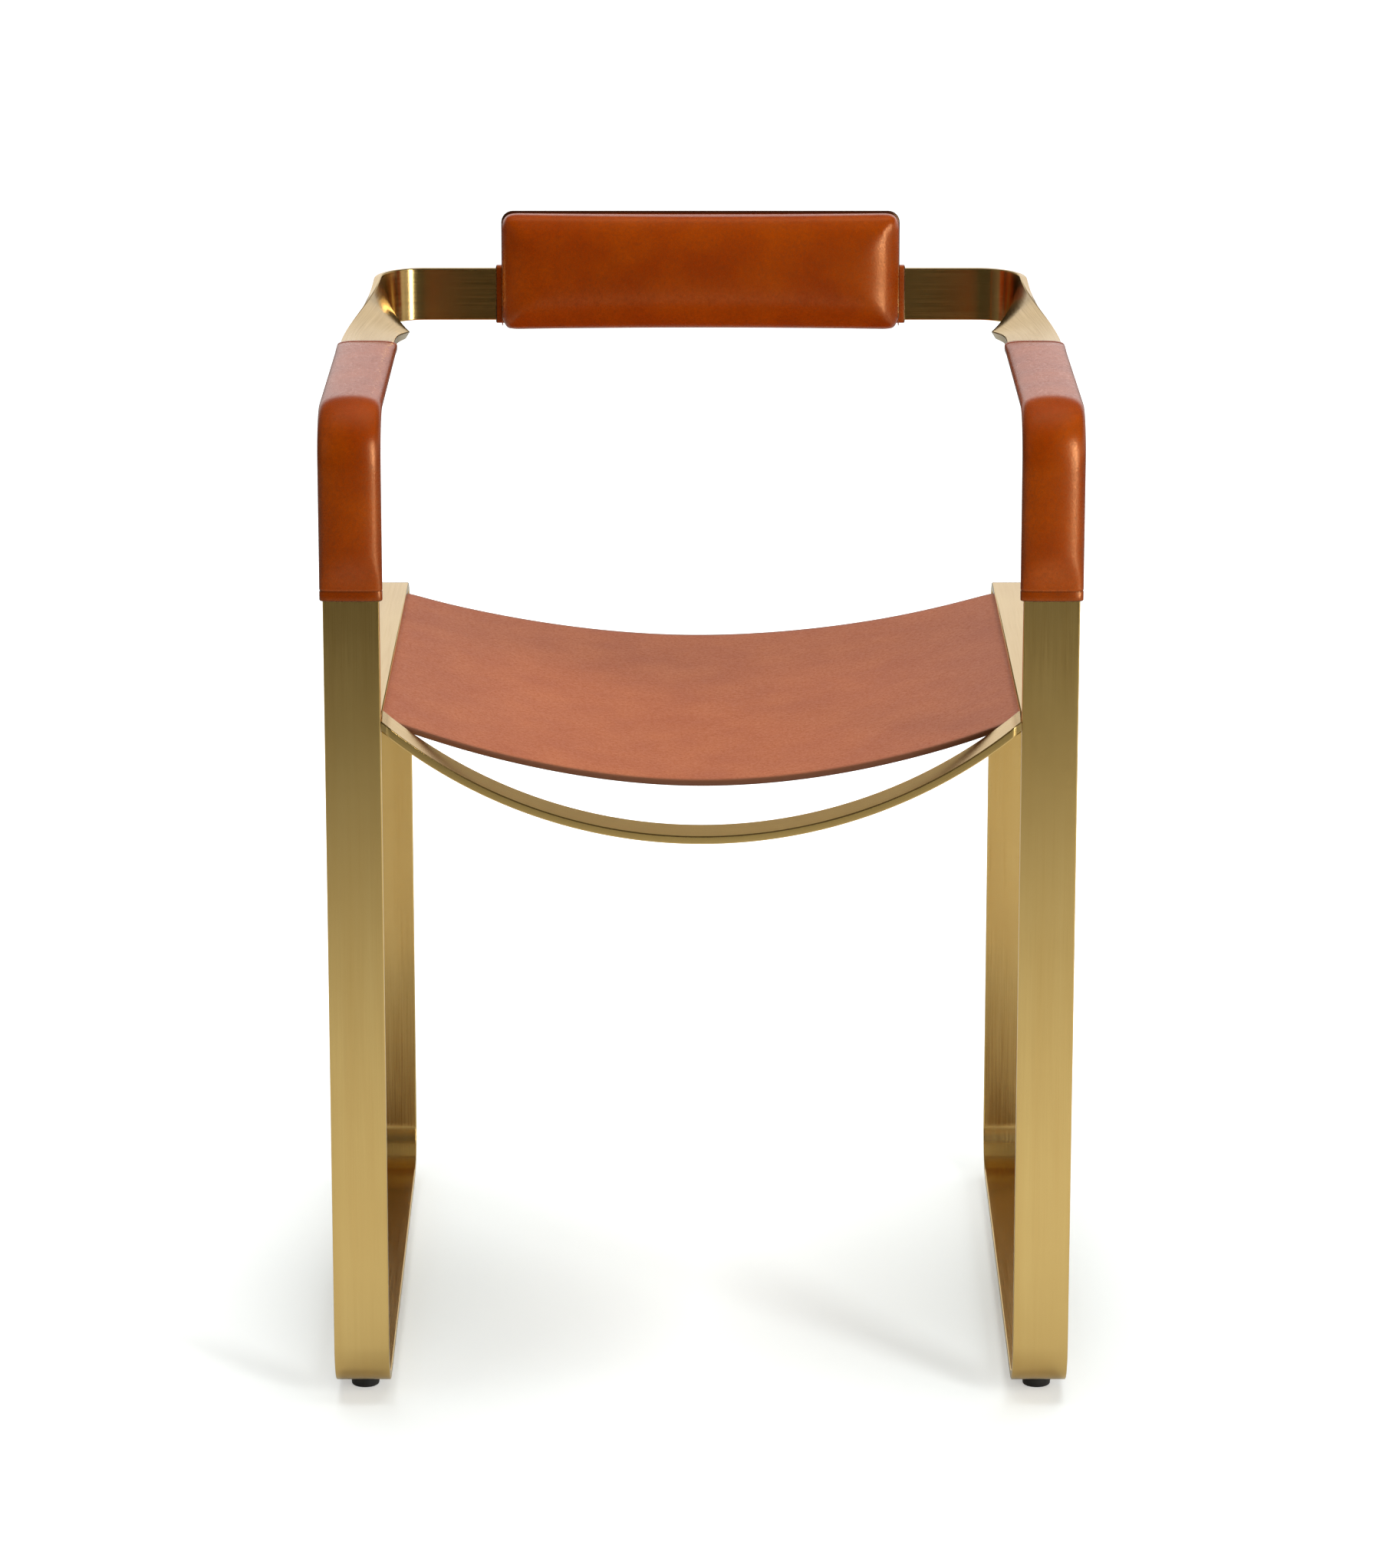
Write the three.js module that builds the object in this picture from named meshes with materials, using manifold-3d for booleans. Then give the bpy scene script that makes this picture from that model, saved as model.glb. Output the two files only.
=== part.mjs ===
// Armchair bent from flat brass-finished bar, with a leather sling seat,
// leather sleeves on the arms and a padded leather back cushion.
// Millimetres, +Z up, the front of the chair faces -Y.

import * as THREE from 'three';
import { mergeVertices } from 'three/addons/utils/BufferGeometryUtils.js';
import Module from 'manifold-3d';

const wasm = await Module();
wasm.setup();

// Flat bar that the whole frame is bent from
const barWidth = 40;
const barThickness = 6;
const bendInnerRadius = 30;
const bendOuterRadius = bendInnerRadius + barThickness;

// Whole chair: widths are over the side frames, heights are from the floor to
// top faces. The arms fall to the rear parallel to the seat rails.
const chairWidth = 534;
const frameDepth = 506;
const armFrontHeight = 743.9;
const seatRailFrontHeight = 521;
const seatRailRearHeight = 497;
const glideHeight = 10;

// Gap kept between pieces that touch on the real chair
const fitGap = 0.3;
// How far a cutting tool runs past the face that it leaves through
const cutOverrun = 2;
// From the tip of a screw in the bar to the bar's far face
const screwTipCover = 2;

// Leather sleeves over the front bend of each arm
const sleeveThickness = 2;
const sleeveCornerRadius = 3;
const sleeveLegLength = 136.9;
const sleeveRearRun = 284;

// Arms and back rail, one bar with a quarter twist behind each arm sleeve. Runs
// go rearwards along the arm. The arm joint is hidden in the sleeve.
const armJointRun = 150;
const backRailSetback = 13;
const backRailLift = 5.9;
const twistStartGap = 13;
const twistRailLength = 7.2;
const twistSway = 9.7;

// Arch: narrower flat bar, laid flat and curved down under the seat front
const archWidth = 30;
const archThickness = 6;
const archEndDrop = 9.5;
const archDrop = 83.2;

// Sling seat
const seatLeatherThickness = 4.5;
const seatFrontGap = 2;
const seatRearGap = 3;
const seatFrontSag = 46;
const seatRearSag = 34;
const seatLapMargin = 4;

// Steel strips that clamp the seat leather under the rails, and their screws
const clampWidth = 16;
const clampThickness = 3;
const clampEdgeInset = 4;
const clampEndInset = 6;
const seatScrewCount = 5;
const seatScrewEndInset = 16;
const seatScrewRadius = 2;
const seatScrewHeadRadius = 4.2;
const seatScrewHeadHeight = 2.4;

// Back cushion: its gap to the bends at both sides, and how far it reaches
// below the back rail
const padBendGap = 61;
const padRailDrop = 4.5;
const padHeight = 90;
const padCornerRadius = 9;
const padSideDepth = 22;
const padCrown = 8;
const padSideDraw = 1.5;
const padLeatherThickness = 1.5;
const padBoardThickness = 9;
const wrapMargin = 4.5;
const wrapThickness = 2;
const wrapCornerRadius = 2;

// Countersunk screws from the back rail into the cushion's board
const padScrewCount = 4;
const padScrewEndInset = 45;
const padScrewRadius = 2.5;
const padScrewHeadRadius = 4.6;
const padScrewHeadHeight = 2.7;
const padScrewTipCover = 3.4;

// Glides under the floor runners, and their screws
const glideTopRadius = 11;
const glideSoleRadius = 10;
const glideBendGap = 1;
const glideScrewRadius = 2.5;
const glideScrewHeadRadius = 4.6;
const glideScrewHeadHeight = 3;
const glideScrewRecess = 5.5;

// Facets
const bendSteps = 8;
const archSteps = 28;
const seatSteps = 26;
const twistSteps = 26;
const cornerSteps = 3;
const screwFacets = 16;
const padLongSteps = 10;
const padShortSteps = 4;
const padCornerSteps = 4;

// Values that several pieces share
const halfWidth = chairWidth / 2;
const railInnerX = halfWidth - barWidth;
const barCentreX = halfWidth - barWidth / 2;
const runnerTopHeight = glideHeight + barThickness;
const railSlope = (seatRailFrontHeight - seatRailRearHeight) / frameDepth;
const railTilt = Math.atan(railSlope);
const armStartHeight = armFrontHeight - barThickness / 2 / Math.cos(railTilt);
const sleeveProud = fitGap + sleeveThickness;
const screwBite = barThickness - screwTipCover;
const sides = [['left', -1], ['right', 1]];

function railTop(y) {
  return seatRailFrontHeight - railSlope * y;
}

function railUnder(y) {
  return railTop(y) - barThickness / Math.cos(railTilt);
}

// The arms' plane runs through the middle of the bar's thickness. Pieces on it
// are built level, with y as the run along it, and are then laid on it.
function laidOnArms(geometry) {
  return geometry.rotateX(-railTilt).translate(0, 0, armStartHeight);
}

function armPoint(run, lift) {
  const place = new THREE.Vector3(0, run, lift).applyAxisAngle(new THREE.Vector3(1, 0, 0), -railTilt);
  return { y: place.y, z: place.z + armStartHeight };
}

// Materials, as the photograph shows them
function material(colour, roughness, metalness) {
  return new THREE.MeshStandardMaterial({ color: colour, roughness, metalness });
}

const brushedBrass = material('#b08d4c', 0.32, 1);
const saddleLeather = material('#9a4413', 0.48, 0);
const seatLeather = material('#bd7a5c', 0.6, 0);
const zincSteel = material('#b9bbbd', 0.35, 1);
const blackPlastic = material('#1c1b1a', 0.55, 0);
const paddingFoam = material('#d8cfae', 0.95, 0);
const birchPlywood = material('#c9a877', 0.7, 0);

const chair = new THREE.Group();

function add(name, geometry, surface) {
  const piece = new THREE.Mesh(geometry, surface);
  piece.name = name;
  chair.add(piece);
  return piece;
}

// A closed skin of rings. Each ring runs counterclockwise about the direction
// that the rings follow, so a band from one ring to the next faces outwards.
class Skin {
  constructor() {
    this.positions = [];
    this.indices = [];
  }

  point(p) {
    this.positions.push(p.x, p.y, p.z);
    return this.positions.length / 3 - 1;
  }

  ring(points) {
    return points.map((p) => this.point(p));
  }

  band(from, to) {
    from.forEach((a, j) => {
      const next = (j + 1) % from.length;
      this.indices.push(a, from[next], to[next], a, to[next], to[j]);
    });
  }

  bands(rings) {
    for (let i = 1; i < rings.length; i += 1) {
      this.band(rings[i - 1], rings[i]);
    }
  }

  cap(ring, centre, facesForward) {
    const middle = this.point(centre);
    ring.forEach((a, j) => {
      const b = ring[(j + 1) % ring.length];
      if (facesForward) {
        this.indices.push(middle, a, b);
      } else {
        this.indices.push(middle, b, a);
      }
    });
  }

  geometry() {
    const result = new THREE.BufferGeometry();
    result.setAttribute('position', new THREE.Float32BufferAttribute(this.positions, 3));
    result.setIndex(this.indices);
    return result;
  }
}

function centreOf(points) {
  const sum = points.reduce((total, p) => total.add(p), new THREE.Vector3());
  return sum.divideScalar(points.length);
}

// A solid bar through a list of rings, closed at both ends
function loft(rings) {
  const skin = new Skin();
  const loops = rings.map((points) => skin.ring(points));
  skin.bands(loops);
  skin.cap(loops[0], centreOf(rings[0]), false);
  skin.cap(loops.at(-1), centreOf(rings.at(-1)), true);
  return skin.geometry();
}

// A tube open at both ends, between outer and inner rings
function tube(outer, inner) {
  const skin = new Skin();
  const outside = outer.map((points) => skin.ring(points));
  const inside = inner.map((points) => skin.ring(points));
  skin.bands([...outside, ...inside.reverse(), outside[0]]);
  return skin.geometry();
}

// A cup open at its first ring and closed past its last one
function cup(outer, inner, outerPole, innerPole) {
  const skin = new Skin();
  const outside = outer.map((points) => skin.ring(points));
  const inside = inner.map((points) => skin.ring(points));
  skin.bands(outside);
  skin.cap(outside.at(-1), outerPole, true);
  skin.cap(inside.at(-1), innerPole, false);
  skin.bands([...inside.reverse(), outside[0]]);
  return skin.geometry();
}

// Booleans
function toSolid(geometry) {
  const bare = geometry.clone();
  bare.deleteAttribute('normal');
  bare.deleteAttribute('uv');
  const merged = mergeVertices(bare);
  const corners = merged.index.array;
  const triangles = [];
  for (let i = 0; i < corners.length; i += 3) {
    const [a, b, c] = [corners[i], corners[i + 1], corners[i + 2]];
    if (a !== b && b !== c && c !== a) {
      triangles.push(a, b, c);
    }
  }
  return new wasm.Manifold(new wasm.Mesh({
    numProp: 3,
    vertProperties: new Float32Array(merged.attributes.position.array),
    triVerts: new Uint32Array(triangles),
  }));
}

function cut(geometry, tools) {
  const body = tools.reduce((rest, tool) => rest.subtract(toSolid(tool)), toSolid(geometry));
  const mesh = body.getMesh();
  const result = new THREE.BufferGeometry();
  result.setAttribute('position', new THREE.Float32BufferAttribute(mesh.vertProperties, 3));
  result.setIndex(Array.from(mesh.triVerts));
  return result;
}

// A turned piece about +Z from pairs of radius and height, lowest first
function turned(pairs) {
  const profile = pairs.map(([radius, height]) => new THREE.Vector2(radius, height));
  return new THREE.LatheGeometry(profile, screwFacets).rotateX(Math.PI / 2);
}

// The outline of a bar in the side view: each corner is a depth, a height and
// the radius of its bend
function roundedLoop(corners) {
  const points = [];
  corners.forEach(([y, z, radius], i) => {
    const corner = new THREE.Vector2(y, z);
    const [beforeY, beforeZ] = corners.at(i - 1);
    const [afterY, afterZ] = corners[(i + 1) % corners.length];
    const back = new THREE.Vector2(beforeY, beforeZ).sub(corner).normalize();
    const ahead = new THREE.Vector2(afterY, afterZ).sub(corner).normalize();
    if (radius === 0) {
      points.push(corner);
      return;
    }
    const halfAngle = Math.acos(back.dot(ahead)) / 2;
    const middle = back.clone().add(ahead).setLength(radius / Math.sin(halfAngle));
    const centre = corner.clone().add(middle);
    const first = back.multiplyScalar(radius / Math.tan(halfAngle)).add(corner).sub(centre);
    const last = ahead.multiplyScalar(radius / Math.tan(halfAngle)).add(corner).sub(centre);
    const turn = Math.atan2(first.cross(last), first.dot(last));
    for (let k = 0; k <= bendSteps; k += 1) {
      const spoke = first.clone().rotateAround(new THREE.Vector2(), turn * k / bendSteps);
      points.push(spoke.add(centre));
    }
  });
  return points;
}

// A side-view outline given its thickness across the chair, from x on
function acrossChair(outline, windows, x, width) {
  const shape = new THREE.Shape(outline);
  shape.holes = windows.map((points) => new THREE.Path(points));
  const geometry = new THREE.ExtrudeGeometry(shape, { depth: width, bevelEnabled: false });
  const depthAxis = new THREE.Vector3(0, 1, 0);
  const heightAxis = new THREE.Vector3(0, 0, 1);
  const widthAxis = new THREE.Vector3(1, 0, 0);
  geometry.applyMatrix4(new THREE.Matrix4().makeBasis(depthAxis, heightAxis, widthAxis));
  return geometry.translate(x, 0, 0);
}

// Places along the seat rail, square to its slope. Heights in `pairs` start
// at the rail's underside and grow upwards into it.
function turnedAtRail(pairs, x, y) {
  return turned(pairs).rotateX(-railTilt).translate(x, y, railUnder(y));
}

const seatFrontDepth = archWidth + seatFrontGap;
const seatRearDepth = frameDepth - bendOuterRadius - seatRearGap;
const clampStart = seatFrontDepth + clampEndInset;
const clampEnd = seatRearDepth - clampEndInset;
const clampCentreX = railInnerX + clampEdgeInset + clampWidth / 2;
const seatScrewSpan = clampEnd - clampStart - 2 * seatScrewEndInset;
const seatScrewDepths = Array.from({ length: seatScrewCount }, (_, i) => (
  clampStart + seatScrewEndInset + seatScrewSpan * i / (seatScrewCount - 1)
));
const clampTopDrop = fitGap + seatLeatherThickness + fitGap;
const clampUnderDrop = clampTopDrop + clampThickness;
const glideEndInset = bendOuterRadius + glideBendGap + glideTopRadius;
const glideDepths = [glideEndInset, frameDepth - glideEndInset];

// Side frames: arm, front leg, floor runner, rear leg and seat rail in one
// bent bar, the rail's front end welded to the back of the front leg
function sideFrame(side) {
  const rearInner = frameDepth - barThickness;
  const jointTop = armPoint(armJointRun - fitGap / 2, barThickness / 2);
  const jointUnder = armPoint(armJointRun - fitGap / 2, -barThickness / 2);
  const armUnderHeight = armFrontHeight - (railTop(0) - railUnder(barThickness));
  const outline = roundedLoop([
    [jointTop.y, jointTop.z, 0],
    [0, armFrontHeight, bendOuterRadius],
    [0, glideHeight, bendOuterRadius],
    [frameDepth, glideHeight, bendOuterRadius],
    [frameDepth, railTop(frameDepth), bendOuterRadius],
    [barThickness, railTop(barThickness), 0],
    [barThickness, armUnderHeight, bendInnerRadius],
    [jointUnder.y, jointUnder.z, 0],
  ]);
  const window = roundedLoop([
    [barThickness, railUnder(barThickness), 0],
    [rearInner, railUnder(rearInner), bendInnerRadius],
    [rearInner, runnerTopHeight, bendInnerRadius],
    [barThickness, runnerTopHeight, bendInnerRadius],
  ]);
  const firstX = side < 0 ? -halfWidth : railInnerX;
  const bar = acrossChair(outline, [window], firstX, barWidth);
  const seatHoles = seatScrewDepths.map((y) => turnedAtRail([
    [0, -cutOverrun],
    [seatScrewRadius + fitGap, -cutOverrun],
    [seatScrewRadius + fitGap, screwBite + fitGap],
    [0, screwBite + fitGap],
  ], side * clampCentreX, y));
  const glideHoles = glideDepths.map((y) => turned([
    [0, -cutOverrun],
    [glideScrewRadius + fitGap, -cutOverrun],
    [glideScrewRadius + fitGap, screwBite + fitGap],
    [0, screwBite + fitGap],
  ]).translate(side * barCentreX, y, glideHeight));
  return cut(bar, [...seatHoles, ...glideHoles]);
}

// Back hoop: from each arm joint the bar runs back, twists a quarter turn so
// that its outer edge comes up, and bends into the upright back rail. The arm's
// top face becomes the back rail's front face.
const bendMiddleRadius = bendInnerRadius + barThickness / 2;
const backRailRun = frameDepth - backRailSetback;
const armRun = backRailRun - bendMiddleRadius - armJointRun - fitGap / 2;
const bendRun = bendMiddleRadius * Math.PI / 2;
const railRun = barCentreX - bendMiddleRadius;
const twistStart = sleeveRearRun + twistStartGap - armJointRun - fitGap / 2;
const twistEnd = armRun + bendRun + twistRailLength;

function smoothRise(share) {
  const t = THREE.MathUtils.clamp(share, 0, 1);
  return t * t * (3 - 2 * t);
}

// Centre, forward direction and outward direction at a run from the joint
function hoopStation(run) {
  const start = armJointRun + fitGap / 2;
  if (run <= armRun) {
    return { x: barCentreX, y: start + run, turn: 0 };
  }
  if (run <= armRun + bendRun) {
    const turn = (run - armRun) / bendMiddleRadius;
    const x = barCentreX - bendMiddleRadius * (1 - Math.cos(turn));
    const y = backRailRun - bendMiddleRadius * (1 - Math.sin(turn));
    return { x, y, turn };
  }
  return { x: railRun - (run - armRun - bendRun), y: backRailRun, turn: Math.PI / 2 };
}

function hoopRing(run) {
  const { x, y, turn } = hoopStation(run);
  const rise = smoothRise((run - twistStart) / (twistEnd - twistStart));
  const twist = rise * Math.PI / 2;
  const outward = new THREE.Vector3(Math.cos(turn), Math.sin(turn), 0);
  const up = new THREE.Vector3(0, 0, 1);
  const widthAxis = outward.clone().multiplyScalar(Math.cos(twist));
  widthAxis.addScaledVector(up, Math.sin(twist));
  const faceAxis = up.clone().multiplyScalar(Math.cos(twist));
  faceAxis.addScaledVector(outward, -Math.sin(twist));
  const centre = new THREE.Vector3(x, y, backRailLift * rise);
  centre.addScaledVector(outward, -twistSway * Math.sin(Math.PI * rise));
  return [[1, -1], [1, 1], [-1, 1], [-1, -1]].map(([face, edge]) => (
    centre.clone()
      .addScaledVector(faceAxis, face * barThickness / 2)
      .addScaledVector(widthAxis, edge * barWidth / 2)
  ));
}

function mirrored(points) {
  return points.map((p) => new THREE.Vector3(-p.x, p.y, p.z));
}

function backHoop() {
  const runs = [0];
  for (let i = 0; i <= twistSteps; i += 1) {
    runs.push(twistStart + (twistEnd - twistStart) * i / twistSteps);
  }
  runs.push(armRun + bendRun + railRun);
  const rightHalf = runs.map(hoopRing);
  const leftHalf = rightHalf.slice(0, -1).map(mirrored).reverse();
  return loft([...rightHalf, ...leftHalf]);
}

// Arch: a flat bar curved down under the front of the seat and welded to the
// inner edges of both side frames
const archRadius = (railInnerX ** 2 + archDrop ** 2) / (2 * archDrop);
const archCentreHeight = seatRailFrontHeight - archEndDrop - archDrop + archRadius;

function archHeight(radius, x) {
  return archCentreHeight - Math.sqrt(radius ** 2 - x ** 2);
}

function crossSection(x, front, rear, frontUnder, frontOver, rearUnder, rearOver) {
  return [
    new THREE.Vector3(x, front, frontUnder),
    new THREE.Vector3(x, rear, rearUnder),
    new THREE.Vector3(x, rear, rearOver),
    new THREE.Vector3(x, front, frontOver),
  ];
}

function seatArch() {
  const reach = railInnerX - fitGap;
  const rings = [];
  for (let i = 0; i <= archSteps; i += 1) {
    const x = -reach + 2 * reach * i / archSteps;
    const under = archHeight(archRadius, x);
    const over = archHeight(archRadius - archThickness, x);
    rings.push(crossSection(x, 0, archWidth, under, over, under, over));
  }
  return loft(rings);
}

// Sling seat: one hide that laps under both rails and hangs between them,
// deeper at its front edge than at its rear one
function seatTop(x, y) {
  const backShare = (y - seatFrontDepth) / (seatRearDepth - seatFrontDepth);
  const sag = seatFrontSag + (seatRearSag - seatFrontSag) * backShare;
  const across = Math.min(Math.abs(x) / railInnerX, 1);
  return railUnder(y) - fitGap - sag * (1 - across ** 2);
}

function seatRing(x) {
  const front = seatTop(x, seatFrontDepth);
  const rear = seatTop(x, seatRearDepth);
  const under = seatLeatherThickness;
  return crossSection(x, seatFrontDepth, seatRearDepth, front - under, front, rear - under, rear);
}

function seatSling() {
  const lapEnd = railInnerX + clampEdgeInset + clampWidth + seatLapMargin;
  const stations = [-lapEnd];
  for (let i = 0; i <= seatSteps; i += 1) {
    stations.push(-railInnerX + 2 * railInnerX * i / seatSteps);
  }
  stations.push(lapEnd);
  const holes = sides.flatMap(([, side]) => seatScrewDepths.map((y) => turnedAtRail([
    [0, -clampTopDrop - cutOverrun],
    [seatScrewRadius + fitGap, -clampTopDrop - cutOverrun],
    [seatScrewRadius + fitGap, cutOverrun],
    [0, cutOverrun],
  ], side * clampCentreX, y)));
  return cut(loft(stations.map(seatRing)), holes);
}

// Clamp strips and their screws
function seatClamp(side) {
  const top = (y) => railUnder(y) - clampTopDrop;
  const under = (y) => railUnder(y) - clampUnderDrop;
  const section = (x) => crossSection(
    x, clampStart, clampEnd, under(clampStart), top(clampStart), under(clampEnd), top(clampEnd),
  );
  const middle = side * clampCentreX;
  const strip = loft([section(middle - clampWidth / 2), section(middle + clampWidth / 2)]);
  const holes = seatScrewDepths.map((y) => turnedAtRail([
    [0, -clampUnderDrop - cutOverrun],
    [seatScrewRadius + fitGap, -clampUnderDrop - cutOverrun],
    [seatScrewRadius + fitGap, 0],
    [0, 0],
  ], middle, y));
  return cut(strip, holes);
}

function seatScrew(side, y) {
  const seat = -clampUnderDrop - fitGap;
  return turnedAtRail([
    [0, seat - seatScrewHeadHeight],
    [seatScrewHeadRadius / 2, seat - seatScrewHeadHeight],
    [seatScrewHeadRadius, seat - seatScrewHeadHeight / 2],
    [seatScrewHeadRadius, seat],
    [seatScrewRadius, seat],
    [seatScrewRadius, screwBite],
    [0, screwBite],
  ], side * clampCentreX, y);
}

// Arm sleeves: leather sewn round the bar, from low on the front leg over the
// bend to the middle of the arm
function roundedRectangle(halfA, halfB, radius, steps) {
  const points = [];
  [[1, 1], [-1, 1], [-1, -1], [1, -1]].forEach(([signA, signB], quarter) => {
    for (let k = 0; k <= steps; k += 1) {
      const angle = (quarter + k / steps) * Math.PI / 2;
      points.push([
        signA * (halfA - radius) + radius * Math.cos(angle),
        signB * (halfB - radius) + radius * Math.sin(angle),
      ]);
    }
  });
  return points;
}

function sleeveStations() {
  const fullTurn = Math.PI / 2 + railTilt;
  const bendDepth = barThickness / 2 + bendMiddleRadius;
  const bendRise = bendMiddleRadius / Math.cos(railTilt);
  const bendHeight = armStartHeight - railSlope * bendDepth - bendRise;
  const stations = [{ y: barThickness / 2, z: armFrontHeight - sleeveLegLength, turn: 0 }];
  for (let k = 0; k <= bendSteps; k += 1) {
    const turn = fullTurn * k / bendSteps;
    stations.push({
      y: bendDepth - bendMiddleRadius * Math.cos(turn),
      z: bendHeight + bendMiddleRadius * Math.sin(turn),
      turn,
    });
  }
  stations.push({ ...armPoint(sleeveRearRun, 0), turn: fullTurn });
  return stations;
}

function sleeveRings(side, proud, radius) {
  const section = roundedRectangle(
    barWidth / 2 + proud, barThickness / 2 + proud, radius, cornerSteps,
  );
  return sleeveStations().map(({ y, z, turn }) => section.map(([across, inward]) => (
    new THREE.Vector3(
      side * barCentreX + across,
      y + inward * Math.cos(turn),
      z - inward * Math.sin(turn),
    )
  )));
}

function armSleeve(side) {
  return tube(
    sleeveRings(side, sleeveProud, sleeveCornerRadius),
    sleeveRings(side, fitGap, fitGap),
  );
}

// Back cushion, built forward from the back rail and laid on the arms' plane, so
// it leans back with the rail
const railFrontFace = backRailRun - barThickness / 2;
const railRearFace = backRailRun + barThickness / 2;
const wrapFrontFace = railFrontFace - fitGap - wrapThickness;
const panelRear = wrapFrontFace - fitGap;
const panelFront = panelRear - padLeatherThickness;
const boardRear = panelFront - fitGap;
const boardFront = boardRear - padBoardThickness;
const coverRear = boardRear;
const coverEdge = panelRear - padSideDepth;
const coverMiddle = (coverRear + coverEdge) / 2;
const padWidth = 2 * (railRun - padBendGap);
const wrapWidth = padWidth + 2 * wrapMargin;
const padCentreLift = backRailLift - barWidth / 2 - padRailDrop + padHeight / 2;
const padScrewLength = railRearFace - boardFront - padScrewTipCover;
const padScrewSpan = padWidth - 2 * padScrewEndInset;
const padScrewOffsets = Array.from({ length: padScrewCount }, (_, i) => (
  padScrewSpan * (i / (padScrewCount - 1) - 1 / 2)
));

// One outline of the cushion: drawn in between its corners by `draw`, and
// smaller by `inset` all round
function padRing(y, inset, draw) {
  const halfX = padWidth / 2 - inset;
  const halfZ = padHeight / 2 - inset;
  const radius = Math.max(padCornerRadius - inset, padCornerRadius / 3);
  const loop = roundedRectangle(halfX, halfZ, Math.min(radius, halfZ), padCornerSteps);
  const points = [];
  loop.forEach(([x, z], i) => {
    points.push([x, z]);
    const [nextX, nextZ] = loop[(i + 1) % loop.length];
    if ((i + 1) % (padCornerSteps + 1) === 0) {
      const steps = Math.abs(nextX - x) > Math.abs(nextZ - z) ? padLongSteps : padShortSteps;
      for (let k = 1; k < steps; k += 1) {
        points.push([x + (nextX - x) * k / steps, z + (nextZ - z) * k / steps]);
      }
    }
  });
  return points.map(([x, z]) => {
    const drawnX = x * (1 - draw * (1 - (z / halfZ) ** 2) / halfX);
    const drawnZ = z * (1 - draw * (1 - (x / halfX) ** 2) / halfZ);
    return new THREE.Vector3(drawnX, y, padCentreLift + drawnZ);
  });
}

// The front of the cushion swells by a share of its crown at each inset
const crownInsetShares = [0, 0.04, 0.12, 0.26, 0.46, 0.72, 0.92];
const crownRiseShares = [0, 0.3, 0.52, 0.72, 0.88, 0.97, 1];

function padBody(rear, sideInset) {
  const front = coverEdge + sideInset;
  const rearDraw = padSideDraw * (coverRear - rear) / (coverRear - coverMiddle);
  const rings = [
    padRing(rear, sideInset, rearDraw),
    padRing(coverMiddle, sideInset, padSideDraw),
  ];
  crownInsetShares.forEach((share, i) => {
    const inset = sideInset + share * (padHeight / 2 - sideInset);
    const draw = padSideDraw * (1 - share);
    rings.push(padRing(front - padCrown * crownRiseShares[i], inset, draw));
  });
  const pole = new THREE.Vector3(0, front - padCrown, padCentreLift);
  return { rings, pole };
}

function padCover() {
  const outer = padBody(coverRear, 0);
  const inner = padBody(coverRear, padLeatherThickness);
  return cup(outer.rings, inner.rings, outer.pole, inner.pole);
}

function padFoam() {
  const { rings } = padBody(boardFront - fitGap, padLeatherThickness + fitGap);
  return loft(rings);
}

// A screw axis that runs forward, towards -Y, from the back rail's rear face.
// Heights in `pairs` grow rearwards from that face.
function turnedAtBackRail(pairs, x) {
  return turned(pairs).rotateX(-Math.PI / 2).translate(x, railRearFace, backRailLift);
}

function padScrewHole(tipDepth) {
  const reach = tipDepth - railRearFace;
  return padScrewOffsets.map((x) => turnedAtBackRail([
    [0, reach],
    [padScrewRadius + fitGap, reach],
    [padScrewRadius + fitGap, -padScrewHeadHeight],
    [padScrewHeadRadius + fitGap, 0],
    [padScrewHeadRadius + fitGap, fitGap],
    [0, fitGap],
  ], x));
}

function padScrew(x) {
  return turnedAtBackRail([
    [0, -padScrewLength],
    [padScrewRadius, -padScrewLength],
    [padScrewRadius, -padScrewHeadHeight - fitGap],
    [padScrewHeadRadius, -fitGap],
    [0, -fitGap],
  ], x);
}

function padBoard() {
  const inset = padLeatherThickness + fitGap + padSideDraw;
  const board = loft([padRing(boardRear, inset, 0), padRing(boardFront, inset, 0)]);
  return cut(board, padScrewHole(railRearFace - padScrewLength - fitGap));
}

function padRearPanel() {
  const panel = loft([padRing(panelRear, 0, 0), padRing(panelFront, 0, 0)]);
  return cut(panel, padScrewHole(panelFront - cutOverrun));
}

// Leather band sewn round the back rail, that the cushion is stitched to
function wrapRings(proud, radius) {
  const section = roundedRectangle(
    barThickness / 2 + proud, barWidth / 2 + proud, radius, cornerSteps,
  );
  return [-wrapWidth / 2, wrapWidth / 2].map((x) => section.map(([inDepth, inHeight]) => (
    new THREE.Vector3(x, backRailRun + inDepth, backRailLift + inHeight)
  )));
}

function railWrap() {
  const band = tube(
    wrapRings(fitGap + wrapThickness, wrapCornerRadius),
    wrapRings(fitGap, fitGap),
  );
  return cut(band, padScrewHole(wrapFrontFace - cutOverrun));
}

// Glides: a plastic foot with its screw sunk in a counterbore
function glide(side, y) {
  const top = glideHeight - fitGap;
  return turned([
    [glideScrewHeadRadius + fitGap, 0],
    [glideSoleRadius, 0],
    [glideTopRadius, top],
    [glideScrewRadius + fitGap, top],
    [glideScrewRadius + fitGap, glideScrewRecess],
    [glideScrewHeadRadius + fitGap, glideScrewRecess],
    [glideScrewHeadRadius + fitGap, 0],
  ]).translate(side * barCentreX, y, 0);
}

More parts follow.
